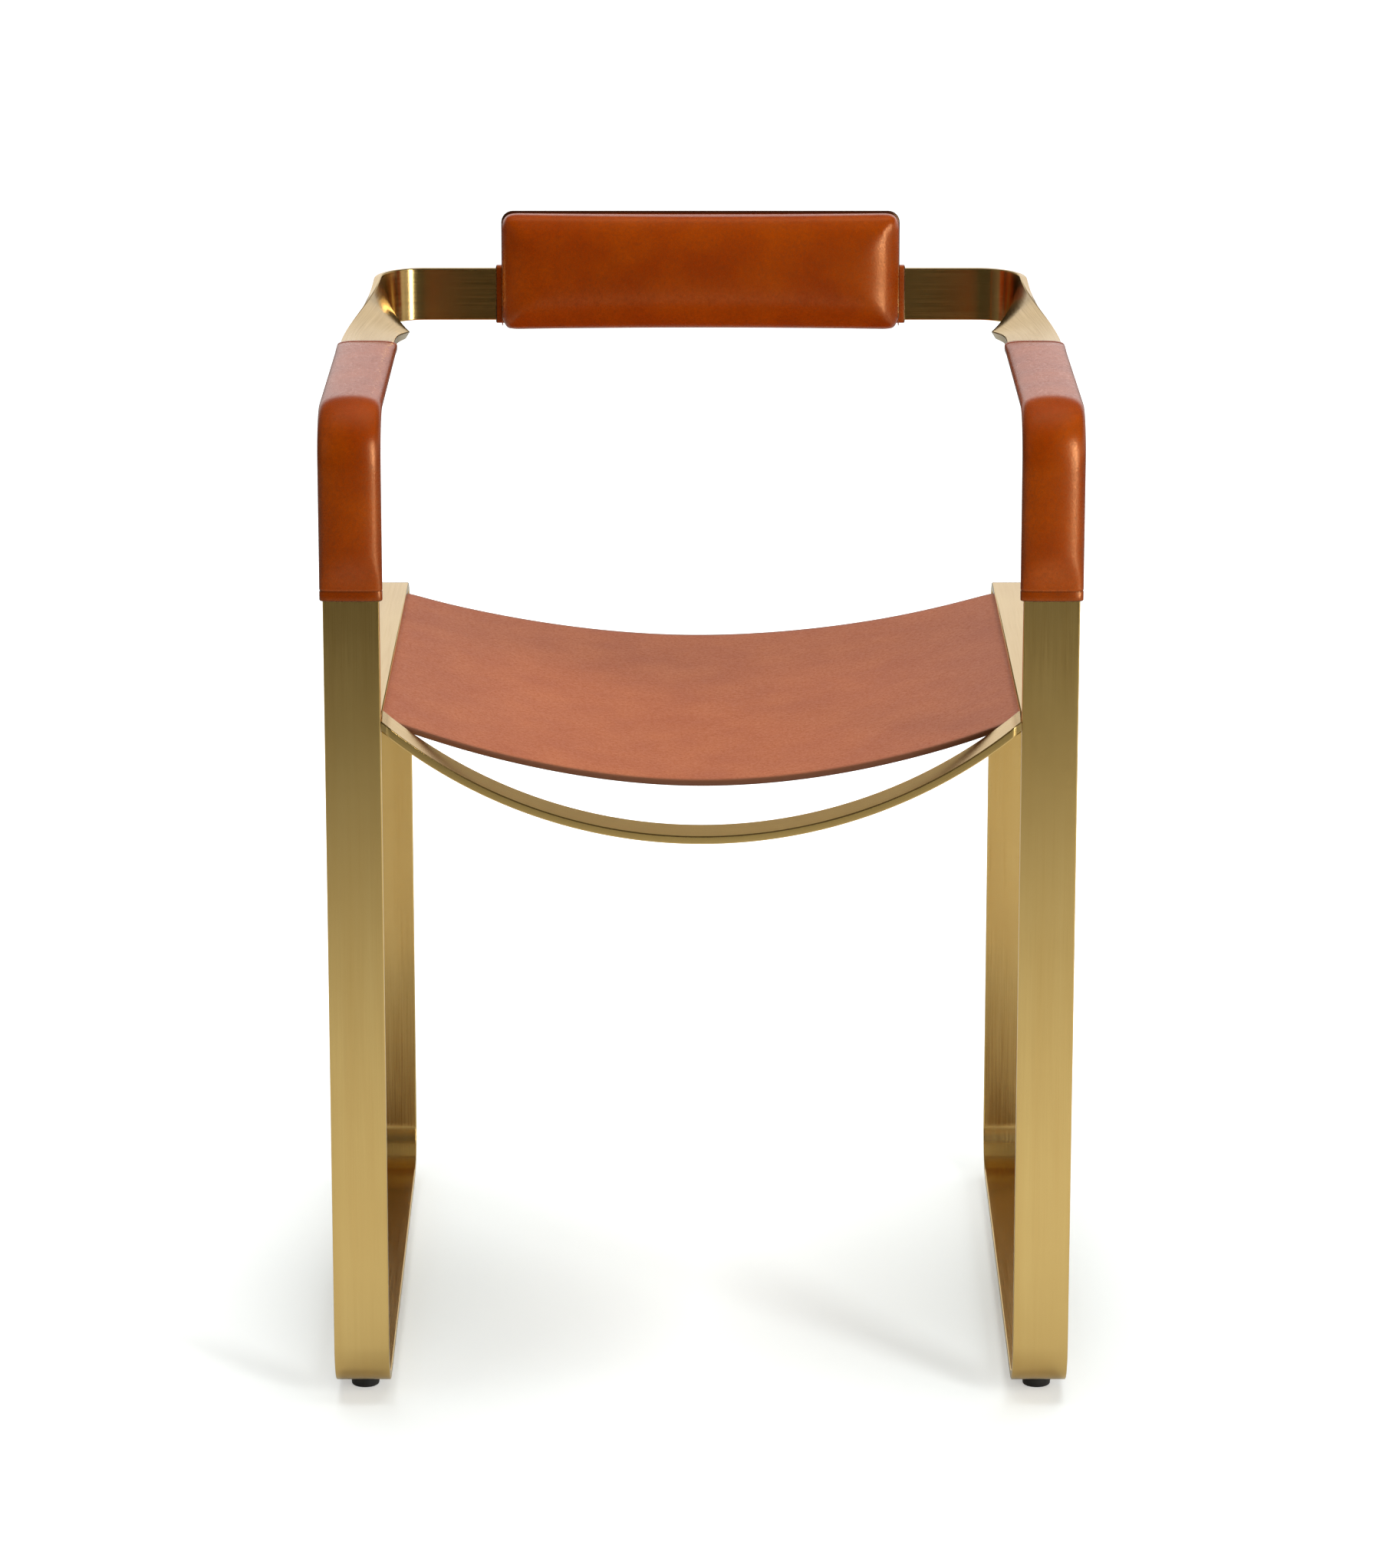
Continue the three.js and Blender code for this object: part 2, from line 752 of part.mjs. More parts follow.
function glideScrew(side, y) {
  const seat = glideScrewRecess - fitGap;
  return turned([
    [0, seat - glideScrewHeadHeight],
    [glideScrewHeadRadius, seat - glideScrewHeadHeight],
    [glideScrewHeadRadius, seat],
    [glideScrewRadius, seat],
    [glideScrewRadius, glideHeight + screwBite],
    [0, glideHeight + screwBite],
  ]).translate(side * barCentreX, y, 0);
}

// Assembly
sides.forEach(([hand, side]) => {
  add(`side_frame_${hand}`, sideFrame(side), brushedBrass);
  add(`arm_sleeve_${hand}`, armSleeve(side), saddleLeather);
  add(`seat_clamp_${hand}`, seatClamp(side), zincSteel);
  seatScrewDepths.forEach((y, i) => {
    add(`seat_screw_${hand}_${i + 1}`, seatScrew(side, y), zincSteel);
  });
  ['front', 'rear'].forEach((end, i) => {
    add(`glide_${end}_${hand}`, glide(side, glideDepths[i]), blackPlastic);
    add(`glide_screw_${end}_${hand}`, glideScrew(side, glideDepths[i]), zincSteel);
  });
});
const hoop = cut(backHoop(), padScrewHole(railFrontFace - cutOverrun));
add('back_hoop', laidOnArms(hoop), brushedBrass);
add('seat_arch', seatArch(), brushedBrass);
add('seat_sling', seatSling(), seatLeather);
add('back_pad_cover', laidOnArms(padCover()), saddleLeather);
add('back_pad_foam', laidOnArms(padFoam()), paddingFoam);
add('back_pad_board', laidOnArms(padBoard()), birchPlywood);
add('back_pad_rear_panel', laidOnArms(padRearPanel()), saddleLeather);
add('back_rail_wrap', laidOnArms(railWrap()), saddleLeather);
padScrewOffsets.forEach((x, i) => {
  add(`back_pad_screw_${i + 1}`, laidOnArms(padScrew(x)), zincSteel);
});

// The origin is on the floor, under the middle of the chair
chair.position.y = -(frameDepth - sleeveProud) / 2;

export default chair;
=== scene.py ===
# %% [markdown]
# # A dining armchair bent from flat brass bar
#
# The chair is two side frames of wide flat bar, joined by arms that twist a
# quarter of a turn and become the back rail. A thick hide hangs between the
# seat rails, leather sleeves cover the front of the arms, and a small leather
# cushion sits on the back rail. The engineering model is already packed, so
# every piece here is fitted over its solids and keeps their sizes.

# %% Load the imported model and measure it
import math
from functools import partial

import bmesh
import bpy
from mathutils import Matrix, Vector, noise


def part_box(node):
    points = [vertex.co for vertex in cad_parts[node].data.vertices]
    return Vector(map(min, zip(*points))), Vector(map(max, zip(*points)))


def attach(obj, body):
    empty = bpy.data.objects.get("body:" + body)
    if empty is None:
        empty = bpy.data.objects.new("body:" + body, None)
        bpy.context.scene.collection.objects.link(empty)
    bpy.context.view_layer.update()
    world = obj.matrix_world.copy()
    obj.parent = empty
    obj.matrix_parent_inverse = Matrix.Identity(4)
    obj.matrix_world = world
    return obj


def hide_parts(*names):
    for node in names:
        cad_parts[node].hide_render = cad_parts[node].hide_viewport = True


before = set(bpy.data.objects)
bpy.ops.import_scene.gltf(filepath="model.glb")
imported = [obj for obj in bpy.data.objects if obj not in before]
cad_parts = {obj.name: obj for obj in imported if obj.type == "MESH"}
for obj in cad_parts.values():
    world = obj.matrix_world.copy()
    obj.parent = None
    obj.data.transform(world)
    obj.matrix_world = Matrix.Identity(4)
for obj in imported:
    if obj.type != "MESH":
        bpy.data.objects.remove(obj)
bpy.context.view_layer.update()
MM = 0.001
# Left and right are as seen from the front, where x runs to the right.
HANDS = {"left": -1, "right": 1}
RIGHT, REAR, UP = Vector((1, 0, 0)), Vector((0, 1, 0)), Vector((0, 0, 1))

side_low, side_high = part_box("side_frame_right")
half_width = side_high.x
bar_width = side_high.x - side_low.x
rail_inner_x = side_low.x
bar_centre_x = (side_low.x + side_high.x) / 2
front_y, rear_y = side_low.y, side_high.y
runner_z = side_low.z
print(f"The chair is {2 * half_width / MM:.1f} mm wide over bars {bar_width / MM:.1f} mm wide")

# %% [markdown]
# ## The camera
#
# The photograph was taken with a long lens from a little above arm height, far
# enough away that both side frames are seen almost end on. Long lenses keep
# upright legs parallel, so a narrow view from nearly five metres away does
# the same here. The camera looks down by sixteen degrees and has no shift.

# %% Camera
CAMERA_PLACE = Vector((-8.4, -4767.3, 1785)) * MM
CAMERA_LOOKS_DOWN = 16.2
LENS_LENGTH = 152.1


def new_object(name, data):
    """A new object with some data, in the scene."""
    made = bpy.data.objects.new(name, data)
    bpy.context.scene.collection.objects.link(made)
    return made


camera = new_object("camera", bpy.data.cameras.new("camera"))
bpy.context.scene.camera = camera
camera.location = CAMERA_PLACE
camera.rotation_euler = (math.radians(90 - CAMERA_LOOKS_DOWN), 0, 0)
camera.data.lens = LENS_LENGTH
print(f"The camera stands {-CAMERA_PLACE.y:.2f} m in front of the chair's middle")


# %% [markdown]
# ## Colours and shader nodes
#
# Colours are written as the hex values that a screen shows. Blender's shaders
# work in linear light, so one function turns the one into the other. A second
# one adds any kind of node with its settings and links, which keeps each
# material as a short list of what feeds what. Where it is given a node instead
# of a value, it links that node's first output. Roughness and relief follow the
# same pattern on every real surface here, so one function feeds both.

# %% Colour and node helpers
def linear(hex_colour):
    """A hex screen colour as the linear colour that shaders use."""
    channels = [int(hex_colour[i:i + 2], 16) / 255 for i in (1, 3, 5)]
    return [c / 12.92 if c <= 0.04045 else ((c + 0.055) / 1.055) ** 2.4 for c in channels] + [1]


def feed(node, inputs):
    """Give each input of a node a value, or a link from a socket or a node."""
    for name, value in inputs.items():
        if isinstance(value, bpy.types.Node):
            value = next(output for output in value.outputs if output.enabled)
        if isinstance(value, bpy.types.NodeSocket):
            node.id_data.links.new(value, node.inputs[name])
        else:
            node.inputs[name].default_value = value


def add_node(tree, kind, inputs=None, **settings):
    """Add a node, set its properties and feed its inputs."""
    node = tree.nodes.new(kind)
    for name, value in settings.items():
        setattr(node, name, value)
    feed(node, inputs or {})
    return node


def new_material(name):
    """A material, what adds its nodes, its principled shader and its object coordinates."""
    made = bpy.data.materials.new(name)
    made.use_nodes = True
    add = partial(add_node, made.node_tree)
    return (made, add, made.node_tree.nodes["Principled BSDF"],
            add("ShaderNodeTexCoord").outputs["Object"])


def finish_surface(add, shader, height, span, roughness, strength, depth, invert=False):
    """Let a shader's roughness and relief both follow one height."""
    satin = add("ShaderNodeMapRange", {
        "Value": height, "From Min": span[0], "From Max": span[1],
        "To Min": roughness[0], "To Max": roughness[1],
    })
    relief = add("ShaderNodeBump", {
        "Height": height, "Strength": strength, "Distance": depth,
    }, invert=invert)
    feed(shader, {"Roughness": satin, "Normal": relief})


print("Mid brass in linear light:", [round(c, 3) for c in linear("#b08d4c")[:3]])

# %% [markdown]
# ## The studio
#
# A plain white background comes from what the camera sees, not from more light
# on the chair: the world is white to camera rays alone. The metal still needs
# something to reflect, so other rays meet a studio with a white wall behind the
# chair, a dim ceiling, a dim left side and a dark front, where the camera
# stands. The floor is pale paper that shows the chair's soft shadow. To the
# camera the paper also glows, least near the runners, which is painted light.
# For reflections its colour is painted darker towards the camera, a painted
# fall of light, and that is what shades the legs from top to bottom.

# %% World
WHITE = linear("#ffffff")
# Each shade has a direction, how nearly a ray has to run that way for the shade
# to start and to be full, and a colour: ceiling, left side and front.
SKY_SHADES = (((0, 0, 1), 0.28, 0.42, "#68665f"),
              ((-1, -0.3, 0), 0.2, 0.8, "#7d7a74"),
              ((0, -1, 0), 0.35, 0.85, "#3b382f"))

world = bpy.data.worlds.new("studio")
bpy.context.scene.world = world
world.use_nodes = True
world.node_tree.nodes.clear()
add = partial(add_node, world.node_tree)
looking = add("ShaderNodeTexCoord").outputs["Generated"]
shade = WHITE
for direction, first, last, colour in SKY_SHADES:
    towards = add("ShaderNodeVectorMath", {0: looking, 1: direction}, operation="DOT_PRODUCT")
    share = add("ShaderNodeMapRange", {
        "Value": towards, "From Min": first, "From Max": last,
    }, interpolation_type="SMOOTHSTEP")
    shade = add("ShaderNodeMix", {0: share, 6: shade, 7: linear(colour)}, data_type="RGBA")
seen = add("ShaderNodeLightPath").outputs["Is Camera Ray"]
seen_or_lit = add("ShaderNodeMix", {0: seen, 6: shade, 7: WHITE}, data_type="RGBA")
background = add("ShaderNodeBackground", {"Color": seen_or_lit, "Strength": 1.0})
add("ShaderNodeOutputWorld", {"Surface": background})
print("The world is white to the camera and shaded to everything else")

# %% Floor
FLOOR_HALF = 12.0
# Painted light: for reflections the paper's colour is a lit oval behind the chair,
# which fades to a dark tone between two radii.
LIT_PLACE, LIT_STRETCH = Vector((0.9, 2.6, 0)), Vector((1 / 1.6, 1, 1))
LIT_RADIUS, DARK_RADIUS = 3.15, 5.6
# Painted light: to the camera the paper glows, least on a line under each runner
# and fully further out, so the chair's real shadow shows only near the runners.
RUNNER_PLACE, RUNNER_STRETCH = (0.25, 0, 0), (1, 0.35, 1)
SHADOW_NEAR, SHADOW_FAR, LEAST_GLOW = 0.02, 0.42, 0.28

paper, add, shader, where = new_material("studio_paper")
stretched = add("ShaderNodeVectorMath", {0: where, 1: LIT_STRETCH}, operation="MULTIPLY")
away = add("ShaderNodeVectorMath", {0: stretched, 1: LIT_PLACE * LIT_STRETCH},
           operation="DISTANCE")
fading = add("ShaderNodeMapRange", {
    "Value": away, "From Min": LIT_RADIUS, "From Max": DARK_RADIUS, "To Min": 1.0, "To Max": 0.0,
}, interpolation_type="SMOOTHSTEP")
fibre = add("ShaderNodeTexNoise", {"Vector": where, "Scale": 90.0})
tone = add("ShaderNodeMix", {0: fibre, 6: linear("#dfe5e5"), 7: linear("#e5eaea")},
           data_type="RGBA")
# Painted light: reflections see a pale colour inside the lit oval and a dark one outside it.
painted_light_for_reflections = add("ShaderNodeMix", {0: fading, 6: linear("#57533a"), 7: tone}, data_type="RGBA")
seen = add("ShaderNodeLightPath").outputs["Is Camera Ray"]
paper_colour = add("ShaderNodeMix", {0: seen, 6: painted_light_for_reflections, 7: tone}, data_type="RGBA")
one_side = add("ShaderNodeVectorMath", {0: where}, operation="ABSOLUTE")
squeezed = add("ShaderNodeVectorMath", {0: one_side, 1: RUNNER_STRETCH}, operation="MULTIPLY")
off_runner = add("ShaderNodeVectorMath", {0: squeezed, 1: RUNNER_PLACE}, operation="DISTANCE")
# Painted light: how strongly the paper glows to the camera, least under the runners.
painted_glow_share = add("ShaderNodeMapRange", {
    "Value": off_runner, "From Min": SHADOW_NEAR, "From Max": SHADOW_FAR,
    "To Min": LEAST_GLOW, "To Max": 1.0,
})
paper_glow = add("ShaderNodeMath", {0: seen, 1: painted_glow_share}, operation="MULTIPLY")
feed(shader, {
    "Base Color": paper_colour, "Emission Strength": paper_glow, "Emission Color": WHITE,
    "Roughness": 0.9, "Specular IOR Level": 0.0,
})

floor_mesh = bpy.data.meshes.new("floor")
floor_mesh.from_pydata([(x * FLOOR_HALF, y * FLOOR_HALF, 0) for x, y in
                        ((-1, -1), (1, -1), (1, 1), (-1, 1))], [], [(0, 1, 2, 3)])
floor_mesh.materials.append(paper)
new_object("floor", floor_mesh)
print(f"The floor is {2 * FLOOR_HALF:.0f} m square")


# %% Lamps
def softbox(name, place, target, width, height, watts, glossy):
    """An area lamp that faces a point. One that isn't glossy lights, but isn't mirrored."""
    lamp = new_object(name, bpy.data.lights.new(name, "AREA"))
    lamp.data.shape = "RECTANGLE"
    lamp.data.size, lamp.data.size_y = width, height
    lamp.data.energy = watts
    lamp.location = place
    lamp.rotation_euler = (Vector(target) - Vector(place)).to_track_quat("-Z", "Y").to_euler()
    lamp.visible_glossy = glossy


softbox("tall_window_right", (1.95, -2.35, 1.15), (0, 0, 0.9),
        width=0.6, height=2.2, watts=62, glossy=True)
softbox("overhead", (0.1, 0.3, 3.2), (0, 0, 0.4),
        width=2.6, height=2.6, watts=80, glossy=False)
softbox("fill_left", (-2.6, -2.2, 1.6), (0, 0, 0.5),
        width=1.8, height=1.8, watts=14, glossy=False)
print("Three softboxes light the chair")

# %% [markdown]
# ## Lacquered brushed brass
#
# The frame reads as flat bar with a satin brass finish, brushed along its
# length and lacquered. Brushing leaves fine parallel scratches, so reflections
# smear across the bar and stay fairly crisp along it. That asks for a metal
# shader with anisotropy, and for a noise that is stretched along the bar. The
# pattern has to follow the bends and the twist, so it reads a UV map in metres
# that runs along each bar, and not the object's coordinates.

# %% Brushed brass
GRAIN_MAP = "grain"
SCRATCH_LENGTH, SCRATCH_WIDTH, SCRATCH_DETAIL = 70 * MM, 0.9 * MM, 3
TONE_LENGTH, TONE_WIDTH, TONE_DETAIL = 240 * MM, 7 * MM, 1


def brushed_brass():
    """Satin brass whose scratches are drawn a little coarser than real ones, to show."""
    made, add, shader, where = new_material("lacquered_brushed_brass")
    along = add("ShaderNodeUVMap", uv_map=GRAIN_MAP)
    noises = []
    for length, width, detail in ((SCRATCH_LENGTH, SCRATCH_WIDTH, SCRATCH_DETAIL),
                                  (TONE_LENGTH, TONE_WIDTH, TONE_DETAIL)):
        stretched = add("ShaderNodeVectorMath", {
            0: along, 1: (1 / length, 1 / width, 1),
        }, operation="MULTIPLY")
        noises.append(add("ShaderNodeTexNoise", {
            "Vector": stretched, "Scale": 1.0, "Detail": detail,
        }))
    scratches, tones = noises
    handled = add("ShaderNodeTexNoise", {"Vector": where, "Scale": 9.0, "Detail": 4})
    brass = add("ShaderNodeMix", {
        0: tones, 6: linear("#d8b26d"), 7: linear("#eccb86"),
    }, data_type="RGBA")
    toned = add("ShaderNodeMix", {0: handled, 6: brass, 7: linear("#d6b06b")}, data_type="RGBA")
    feed(shader, {
        "Base Color": toned, "Metallic": 1.0, "Anisotropic": 0.55, "Anisotropic Rotation": 0.25,
        "Tangent": add("ShaderNodeTangent", direction_type="UV_MAP", uv_map=GRAIN_MAP),
    })
    finish_surface(add, shader, scratches, span=(0.3, 0.7), roughness=(0.17, 0.26),
                   strength=0.35, depth=0.05 * MM)
    return made


BRASS = brushed_brass()
print("Brass scratches are", SCRATCH_WIDTH / MM, "mm wide")

# %% [markdown]
# ## Leather
#
# Two leathers are on the chair. The sleeves, the band and the cushion are
# cognac saddle leather, smooth and waxed, so light pools in soft highlights.
# The seat is a thick vegetable tanned hide with a drier face. Seen at a low
# angle both pick up a pale veil from the white wall, which is plain gloss and
# not colour. Both get a grain of small cells with finer wrinkles between them
# and a tone that wanders over centimetres. Cut edges were dyed and burnished,
# and the hide's underside is its pale flesh side. The mesh carries an attribute
# for each of these, and the shader reads it.
# On the sleeves the edge attribute also carries painted shade on their sides.

# %% Leather
GLOSS_PER_WAX = 3


def leather(name, dark, mid, light, dye_and_shade_colour, gloss, cell, roughness, relief_depth, wax):
    """Leather of three tones, with grain cells of a real size."""
    made, add, shader, where = new_material(name)
    cells = add("ShaderNodeTexVoronoi", {
        "Vector": where, "Scale": 1 / cell, "Randomness": 1.0,
    }, feature="SMOOTH_F1")
    wrinkles = add("ShaderNodeTexNoise", {"Vector": where, "Scale": 0.45 / cell, "Detail": 5})
    clouds = add("ShaderNodeTexNoise", {"Vector": where, "Scale": 26.0, "Detail": 3})
    grain = add("ShaderNodeMath", {0: cells, 1: 0.6, 2: wrinkles}, operation="MULTIPLY_ADD")
    cloudy = add("ShaderNodeMapRange", {"Value": clouds, "From Min": 0.32, "From Max": 0.68})
    colour = add("ShaderNodeMix", {0: cloudy, 6: linear(mid), 7: linear(light)}, data_type="RGBA")
    pores = add("ShaderNodeMapRange", {
        "Value": grain, "From Min": 0.55, "From Max": 1.1, "To Min": 0.0, "To Max": 0.45,
    })
    flesh, edge = [add("ShaderNodeAttribute", attribute_name=share).outputs["Fac"]
                   for share in ("flesh", "edge")]
    # The edge share is dye on cut edges, and on the sleeves' sides it is painted shade.
    for share, over in ((pores, dark), (flesh, "#d8c8a8"), (edge, dye_and_shade_colour)):
        colour = add("ShaderNodeMix", {0: share, 6: colour, 7: linear(over)}, data_type="RGBA")
    feed(shader, {
        "Base Color": colour, "Specular Tint": linear(gloss), "Coat Weight": wax,
        "Specular IOR Level": 0.5 + GLOSS_PER_WAX * wax, "Coat Roughness": 0.3,
    })
    finish_surface(add, shader, grain, span=(0.4, 1.1),
                   roughness=(roughness - 0.07, roughness + 0.1),
                   strength=0.6, depth=relief_depth, invert=True)
    return made


SADDLE = leather("waxed_saddle_leather", dark="#5a2000", mid="#953600", light="#a64400",
                 dye_and_shade_colour="#33170b", gloss="#ffb978",
                 cell=1.1 * MM, roughness=0.27, relief_depth=0.08 * MM, wax=0.12)
HIDE = leather("vegetable_tanned_hide", dark="#8d4014", mid="#ab541d", light="#b66028",
               dye_and_shade_colour="#6e4127", gloss="#ffffff",
               cell=1.3 * MM, roughness=0.46, relief_depth=0.12 * MM, wax=0.0)
print("Two leathers:", SADDLE.name, "and", HIDE.name)

# %% [markdown]
# ## Small materials
#
# Zinc plated steel for strips and screws has a fine crystalline blue grey
# finish. The glides are moulded nylon with a slight texture. Thread is waxed
# linen. The foam and the plywood are inside the cushion, and they are finished
# too.


# %% Simple finishes
def speckled(name, first, second, size, roughness, metallic=0.0, depth=0.05 * MM,
             stretch=(1, 1, 1)):
    """A finish of two tones in a noise of a real size."""
    made, add, shader, where = new_material(name)
    sized = add("ShaderNodeVectorMath", {0: where, 1: [s / size for s in stretch]},
                operation="MULTIPLY")
    speckle = add("ShaderNodeTexNoise", {"Vector": sized, "Scale": 1.0, "Detail": 4})
    tone = add("ShaderNodeMix", {0: speckle, 6: linear(first), 7: linear(second)},
               data_type="RGBA")
    feed(shader, {"Base Color": tone, "Metallic": metallic})
    finish_surface(add, shader, speckle, span=(0, 1),
                   roughness=(roughness - 0.08, roughness + 0.08), strength=0.4, depth=depth)
    return made


ZINC = speckled("zinc_plated_steel", "#a9adb1", "#c9ccce", 3 * MM, 0.36, metallic=1.0)
NYLON = speckled("moulded_nylon", "#151414", "#242322", 1.2 * MM, 0.55)
THREAD = speckled("waxed_linen_thread", "#6b3413", "#9c5a2a", 0.5 * MM, 0.6)
FOAM = speckled("polyether_foam", "#cfc49e", "#ded6b8", 1.5 * MM, 0.95, depth=0.4 * MM)
PLYWOOD = speckled("birch_plywood", "#b98f5c", "#d3b387", 2.5 * MM, 0.6, stretch=(0.06, 1, 1))
print("Five plain finishes made")

# %% [markdown]
# ## Skinning rings
#
# Bars, leather walls, cushion and glides are all rows of rings with skin between
# them. A ring is an outline placed at a station, a centre with two axes. The
# skin notes how far along and how far round each corner is, in metres, and that
# becomes the UV map the brushed grain follows. Curves with a bevel could make a
# bar too, but they can't twist it by a rule or shear its ends.


# %% Outlines
def eased_outline(width, thickness, radius, corner_steps=4, face_steps=1):
    """A rectangle with rounded corners, as pairs along the width and the thickness."""
    half_a, half_b = width / 2 - radius, thickness / 2 - radius
    outline = []
    for quarter, (side_a, side_b) in enumerate(((1, 1), (-1, 1), (-1, -1), (1, -1))):
        for k in range(corner_steps + 1):
            angle = math.pi / 2 * (quarter + k / corner_steps)
            outline.append((side_a * half_a + radius * math.cos(angle),
                            side_b * half_b + radius * math.sin(angle)))
        if quarter % 2 == 0:
            for k in range(1, face_steps):
                share = 1 - 2 * k / face_steps
                outline.append((side_a * half_a * share, side_b * thickness / 2))
    return outline


def ring_at(station, outline):
    """The outline, placed at a centre with an axis for its width and one for its thickness."""
    centre, across, face = station
    return [centre + across * a + face * b for a, b in outline]


print("A plain outline has", len(eased_outline(2, 1, 0.1)), "points")


# %% Skins
def skin(name, rings, material, looped=False, **shares):
    """A closed mesh through rings, with a UV map in metres and an attribute for each share."""
    count = len(rings[0])
    middles = [sum(ring, Vector()) / count for ring in rings]
    runs, arounds = [0.0], [0.0]
    for i in range(len(rings)):
        runs.append(runs[-1] + (middles[(i + 1) % len(rings)] - middles[i]).length)
    for j in range(count):
        arounds.append(arounds[-1] + (rings[0][(j + 1) % count] - rings[0][j]).length)
    faces, places = [], []
    for i in range(len(rings) if looped else len(rings) - 1):
        n = (i + 1) % len(rings)
        for j in range(count):
            k = (j + 1) % count
            faces.append((i * count + j, i * count + k, n * count + k, n * count + j))
            places += [(runs[i], arounds[j]), (runs[i], arounds[j + 1]),
                       (runs[i + 1], arounds[j + 1]), (runs[i + 1], arounds[j])]
    if not looped:
        for i, order in ((0, -1), (len(rings) - 1, 1)):
            faces.append(tuple(range(i * count, (i + 1) * count))[::order])
            places += [(runs[i], a) for a in arounds[:-1]][::order]
    mesh = bpy.data.meshes.new(name)
    mesh.from_pydata([p for ring in rings for p in ring], [], faces)
    grain_map = mesh.uv_layers.new(name=GRAIN_MAP)
    grain_map.data.foreach_set("uv", [c for place in places for c in place])
    for attribute, share_of in shares.items():
        values = [float(share_of(i, j)) for i in range(len(rings)) for j in range(count)]
        mesh.attributes.new(attribute, "FLOAT", "POINT").data.foreach_set("value", values)
    mesh.materials.append(material)
    return outward(mesh)


def outward(mesh):
    """Turn every face outwards and shade the mesh smooth."""
    work = bmesh.new()
    work.from_mesh(mesh)
    bmesh.ops.recalc_face_normals(work, faces=work.faces)
    work.to_mesh(mesh)
    work.free()
    mesh.shade_smooth()
    return mesh


print("Skins carry the UV map", GRAIN_MAP)


# %% Placing a finished piece
def modified(piece):
    """The mesh that a piece's modifiers make."""
    graph = bpy.context.evaluated_depsgraph_get()
    return bpy.data.meshes.new_from_object(piece.evaluated_get(graph))


def fit(mesh, slot, *nodes, flat_faces=True):
    """Put a mesh on the chair in place of the CAD nodes it stands for."""
    piece = new_object(mesh.name, mesh)
    if flat_faces:
        piece.modifiers.new("flat_faces", "WEIGHTED_NORMAL").keep_sharp = True
    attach(piece, "root")
    if nodes:
        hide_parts(*nodes)
    print(f"{piece.name}: {len(mesh.polygons)} faces in place of {len(nodes)} CAD nodes")
    return piece


print("The CAD model has", len(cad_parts), "nodes to dress")

# %% [markdown]
# ## Paths with bends
#
# A bent bar is straight stretches joined by arcs of one radius, because the
# bender has one die. A path is written as its sharp corners, and each corner
# is then rounded. The same paths carry the leather sleeves.

# %% Rounded paths
BEND_STEPS = 22


def rounded_path(corners, radius):
    """Points with directions along a path whose corners are bent to a radius."""
    path = [(corners[0], (corners[1] - corners[0]).normalized())]
    for before, corner, after in zip(corners, corners[1:], corners[2:]):
        arriving = (corner - before).normalized()
        leaving = (after - corner).normalized()
        turn = arriving.angle(leaving)
        start = corner - arriving * radius * math.tan(turn / 2)
        inward = (leaving - arriving * arriving.dot(leaving)).normalized()
        for k in range(BEND_STEPS + 1):
            angle = turn * k / BEND_STEPS
            point = start + radius * (arriving * math.sin(angle) + inward * (1 - math.cos(angle)))
            path.append((point, arriving * math.cos(angle) + inward * math.sin(angle)))
    path.append((corners[-1], (corners[-1] - corners[-2]).normalized()))
    return path


def station(x, point, direction):
    """A station of a bar that is bent in a side view: its width runs across the chair."""
    return Vector((x, point.y, point.z)), RIGHT, direction.cross(RIGHT)


print("Bends have", BEND_STEPS, "steps")

# %% [markdown]
# ## The slope of seat and arms
#
# The seat rails fall a little to the rear, and the arms run parallel to them.
# So everything at the back, the rail, the cushion and its band, leans back by
# the same small angle. These pieces are worked out on a level plane, with y as
# the run along the arm, and one matrix then lays them on the arms' plane.

# %% Slope of seat and arms
BAR_THICKNESS = 6 * MM
RAIL_FRONT_TOP, RAIL_REAR_TOP = 521 * MM, 497 * MM
ARM_FRONT_TOP = 743.9 * MM

rail_slope = (RAIL_FRONT_TOP - RAIL_REAR_TOP) / (rear_y - front_y)
rail_tilt = math.atan(rail_slope)
half_bar_upright = BAR_THICKNESS / 2 / math.cos(rail_tilt)
arm_start_z = ARM_FRONT_TOP - half_bar_upright
arm_plane = Matrix.Translation((0, front_y, arm_start_z)) @ Matrix.Rotation(-rail_tilt, 4, "X")


def on_arms(points):
    """Lay places given by x, run and lift on the arms' plane."""
    return [arm_plane @ point for point in points]


def arm_middle(y):
    """Height of the middle of the arm's thickness."""
    return arm_start_z - rail_slope * (y - front_y)


print(f"Seat and arms fall to the rear by {math.degrees(rail_tilt):.1f} degrees")

# %% [markdown]
# ## Side frames
#
# Each side frame is one bar: from the joint in the arm it runs forward, down
# the front leg, back along the floor, up the rear leg and forward again as the
# seat rail, which is welded to the back of the front leg. Flat bar has slightly
# eased edges, so the outline has small rounded corners that catch the light.

# %% Side frames
BAR_EASING = 0.9 * MM
BEND_RADIUS = 33 * MM
FIT_GAP = 0.3 * MM
WELD_SINK = 0.5 * MM
ARM_JOINT_RUN = 150 * MM

leg_y, rear_leg_y = front_y + BAR_THICKNESS / 2, rear_y - BAR_THICKNESS / 2
runner_middle = runner_z + BAR_THICKNESS / 2
bar_outline = eased_outline(bar_width, BAR_THICKNESS, BAR_EASING)


def rail_middle(y):
    """Height of the middle of the seat rail's thickness."""
    return RAIL_FRONT_TOP - rail_slope * (y - front_y) - half_bar_upright


